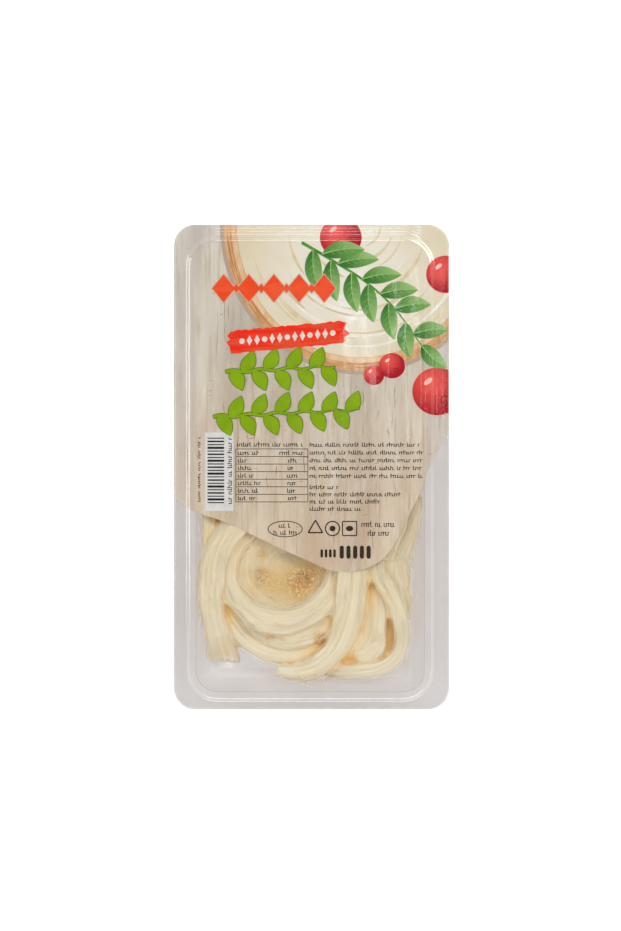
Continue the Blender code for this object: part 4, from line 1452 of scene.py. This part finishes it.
def fibre_routes(rng):
    """Plan routes (x, y) of the loose fibres: along each strand, and short ones that fray from its edges."""
    for name, _, route in STRANDS:
        if name in HIDDEN or "floor" in name:
            continue
        places, along = even_route(route, 0.7)
        left = sideways(places)
        for _ in range(int(along[-1] * 0.2)):
            length = rng.uniform(6, 24)
            first = rng.uniform(0, max(along[-1] - length, 1))
            picked = (along >= first) & (along <= first + length)
            if picked.sum() < 6:
                continue
            share = np.linspace(0, 1, picked.sum())
            start = rng.choice((-1, 1)) * rng.uniform(0.2, 1.05) ** 0.5
            stray = rng.normal(0, 0.3) * share + 0.12 * np.sin(rng.uniform(4, 9) * share + rng.uniform(0, 6))
            offset = (start + stray) * places[picked, 2] / 2
            yield places[picked, :2] + left[picked] * offset[:, None]
        for _ in range(int(along[-1] * 0.6)):
            length = rng.uniform(3.5, 8)
            first = rng.uniform(0, max(along[-1] - length, 1))
            picked = (along >= first) & (along <= first + length)
            if picked.sum() < 5:
                continue
            share = np.linspace(0, 1, picked.sum())[:: rng.choice((-1, 1))]
            offset = rng.choice((-1, 1)) * (rng.uniform(0.82, 1.0) + rng.uniform(0.02, 0.3) * share**1.6)
            yield places[picked, :2] + left[picked] * (offset * (places[picked, 2] / 2 + SPREAD))[:, None]


# Threads that hang loose: their ends and bends as (x, y), and their thickness
LOOSE_THREADS = (
    (0.22, [(-6, -83), (-3, -87.5), (1.5, -86.2), (4, -89.2)]),
    (0.2, [(2, -84), (5, -88.3), (9, -87.2), (13.5, -88.6)]),
    (0.18, [(-3.5, -86.5), (-2.4, -89.6), (0.3, -90.6)]),
    (0.2, [(30, -30), (36, -36), (40.5, -44), (41.6, -53)]),
    (0.18, [(27, -36), (33, -38.5), (40, -37), (43.5, -40)]),
    (0.2, [(31, -28), (35, -38), (38.5, -49), (41, -60)]),
    (0.18, [(29, -38), (35, -46), (38, -56), (40.8, -67)]),
    (0.2, [(32, -33), (39, -38.5), (43, -46)]),
    (0.16, [(24, -70), (29, -69), (32, -67)]),
    (0.16, [(23, -71.5), (28, -71.8), (31, -73.5)]),
    (0.16, [(-45, -46), (-45.6, -49), (-44, -53)]),
)


def build_fibres(skin):
    rng = np.random.RandomState(23)
    vertices, faces = [], []
    routes = [(route, rng.uniform(0.05, 0.11)) for route in fibre_routes(rng)]
    for radius, route in LOOSE_THREADS:
        routes.append((smooth_curve(route, 14), radius))
    for route, radius in routes:
        height = rest_on(skin, route[:, 0], route[:, 1], 0.02)
        made, closed = tube(np.column_stack([route, height]), radius)
        start = sum(len(part) for part in vertices)
        vertices.append(made)
        faces.extend(tuple(corner + start for corner in face) for face in closed)
    mesh_piece("loose_fibres", np.vstack(vertices), faces, fibre_finish())


# Where whey foams: x, y, radius, and how many bubbles
FOAM = ((-20.6, -45.0, 3.4, 110), (-5.0, -46.0, 4.0, 50), (-14.0, -49.5, 5.0, 10), (2.5, -46.0, 2.6, 20),
        (-24.5, -66.0, 2.6, 40), (-17.5, -70.0, 2.6, 40))


def bubble_finish():
    made, tree = new_tree("whey_bubble")
    place = add(tree, "ShaderNodeTexCoord").outputs["Object"]
    cloud = noise(tree, place, 300.0, 1.0)
    body = add(tree, "ShaderNodeBsdfPrincipled", {
        "Base Color": blended(tree, cloud, srgb(224, 184, 124), srgb(250, 232, 194)),
        "Roughness": add(tree, "ShaderNodeMapRange", {0: cloud, 3: 0.05, 4: 0.2}).outputs[0],
    })
    output(tree, body.outputs[0])
    return made


def build_bubbles(skin):
    rng = np.random.RandomState(31)
    ball = bmesh.new()
    bmesh.ops.create_icosphere(ball, subdivisions=2, radius=1.0)
    unit = np.array([v.co for v in ball.verts])
    facets = [[v.index for v in face.verts] for face in ball.faces]
    ball.free()
    vertices, faces = [], []
    for centre_x, centre_y, reach, count in FOAM:
        for _ in range(count):
            angle, away = rng.uniform(0, 2 * math.pi), reach * math.sqrt(rng.uniform(0, 1)) * rng.uniform(0.4, 1.15)
            x, y = centre_x + away * math.cos(angle), centre_y + 0.85 * away * math.sin(angle)
            radius = 0.14 + 0.24 * rng.uniform(0, 1) ** 2.0
            z = float(skin.under(np.array([x]), np.array([y]))[0])
            start = len(vertices) * len(unit)
            vertices.append(unit * radius + (x, y, z))
            faces.extend(tuple(corner + start for corner in facet) for facet in facets)
    mesh_piece("whey_bubbles", np.vstack(vertices), faces, bubble_finish())


# Cracks in the whey's skin, drawn as dark tubes that stand in for the shade inside them, as (x, y)
CRACK_SHADE_LINES = (
    [(-4.4, -42.2), (-3.2, -43.2), (-3.5, -44.6), (-2.2, -45.8), (-1.6, -47.4)],
    [(-2.8, -43.6), (-1.8, -44.2), (-2.2, -45.4), (-0.8, -46.6), (-0.2, -48.2)],
    [(-6.6, -46.8), (-5.4, -46.0), (-4.4, -46.9), (-3.2, -46.3), (-2.6, -47.3)],
    [(-6.2, -44.6), (-5.2, -43.9), (-4.2, -44.5), (-3.5, -44.0)],
    [(-19.8, -42.8), (-20.6, -43.8), (-20.0, -44.9), (-21.0, -46.2)],
)
CRACK_SHADE_RADIUS = 0.13


def build_crack_shade(skin):
    # Painted shade: dark brown tubes along the cracks stand in for the shade in them.
    finish, tree = new_tree("whey_crack_shade")
    place = add(tree, "ShaderNodeTexCoord").outputs["Object"]
    cloud = noise(tree, place, 500.0, 1.0)
    body = add(tree, "ShaderNodeBsdfPrincipled", {
        "Base Color": blended(tree, cloud, srgb(128, 94, 56), srgb(186, 146, 92)),
        "Roughness": add(tree, "ShaderNodeMapRange", {0: cloud, 3: 0.3, 4: 0.5}).outputs[0],
    })
    output(tree, body.outputs[0])
    vertices, faces = [], []
    for line in CRACK_SHADE_LINES:
        route = smooth_curve(line, 8)
        height = rest_on(skin, route[:, 0], route[:, 1], -0.04, 1)
        made, closed = tube(np.column_stack([route, height]), CRACK_SHADE_RADIUS)
        start = sum(len(part) for part in vertices)
        vertices.append(made)
        faces.extend(tuple(corner + start for corner in face) for face in closed)
    mesh_piece("whey_crack_shade_lines", np.vstack(vertices), faces, finish)


# ---- Stage, lights and camera ----


def stage_finish():
    """A lit white table."""
    made, tree = new_tree("pale_floor")
    place = add(tree, "ShaderNodeTexCoord").outputs["Object"]
    cloud = noise(tree, place, 3.0, 2.0)
    colour = blended(tree, cloud, (0.90, 0.90, 0.90), (0.92, 0.92, 0.92))
    body = add(tree, "ShaderNodeBsdfPrincipled", {
        "Base Color": colour,
        "Roughness": 0.9,
        "Emission Color": (1.0, 0.99, 0.985, 1),
        "Emission Strength": TABLE_GLOW,
    })
    output(tree, body.outputs[0])
    return made


TABLE_GLOW = 0.68
SKY = 0.79  # light from the studio's pale walls
OVERHEAD = 0.10  # the dark ceiling over the camera, which the film mirrors
LIGHTS = (
    # name, place, size, power
    ("key", (0.55, 0.50, 1.35), (0.50, 0.50), 7.4),
    ("left_fill", (-0.62, 0.12, 1.25), (0.45, 0.60), 2.5),
    ("near_fill", (0.05, -0.70, 1.20), (0.80, 0.35), 2.05),
    ("strip", (0.112, 0.10, 1.40), (0.014, 0.15), 0.018),
)


def build_stage():
    size = 3.0
    mesh = bpy.data.meshes.new("floor")
    mesh.from_pydata([(-size, -size, 0), (size, -size, 0), (size, size, 0), (-size, size, 0)], [], [(0, 1, 2, 3)])
    mesh.materials.append(stage_finish())
    floor = bpy.data.objects.new("floor", mesh)
    bpy.context.scene.collection.objects.link(floor)

    world = bpy.data.worlds.new("studio")
    bpy.context.scene.world = world
    world.use_nodes = True
    tree = world.node_tree
    tree.nodes.clear()
    place = add(tree, "ShaderNodeTexCoord").outputs["Generated"]
    height = add(tree, "ShaderNodeSeparateXYZ", {0: place}).outputs["Z"]
    strength = add(tree, "ShaderNodeMapRange", {0: height, 1: 0.88, 2: 0.97, 3: SKY, 4: OVERHEAD})
    sky = add(tree, "ShaderNodeBackground", {"Color": (1, 1, 1, 1), "Strength": strength.outputs[0]})
    add(tree, "ShaderNodeOutputWorld", {"Surface": sky.outputs[0]})


def build_lights():
    for name, place, size, power in LIGHTS:
        light = bpy.data.lights.new(name, "AREA")
        light.shape = "RECTANGLE"
        light.size, light.size_y = size
        light.energy = power
        made = bpy.data.objects.new(name, light)
        bpy.context.scene.collection.objects.link(made)
        made.location = place
        down = name == "strip"
        aim = Vector((0, 0, -1)) if down else -Vector(place)
        made.rotation_euler = aim.to_track_quat("-Z", "Y").to_euler()


def build_camera():
    """Straight above the pack, framed as the photo frames it."""
    image_width, image_height = 621, 931
    pack_share = 0.5215  # the pack's length over the picture's height
    distance = 1.25
    sensor = 36.0
    camera = bpy.data.cameras.new("camera")
    camera.sensor_width = sensor
    view_height = PACK_LENGTH * MM / pack_share
    camera.lens = sensor * distance / view_height
    camera.clip_start, camera.clip_end = 0.05, 20
    made = bpy.data.objects.new("camera", camera)
    bpy.context.scene.collection.objects.link(made)
    step = view_height / image_height
    made.location = (-1.0 * step, 1.5 * step, FLANGE_TOP * MM + distance)
    bpy.context.scene.camera = made


build_tray()
build_film()
build_print()
build_cheese()
build_stage()
build_lights()
build_camera()
bpy.context.scene.view_settings.view_transform = "Standard"
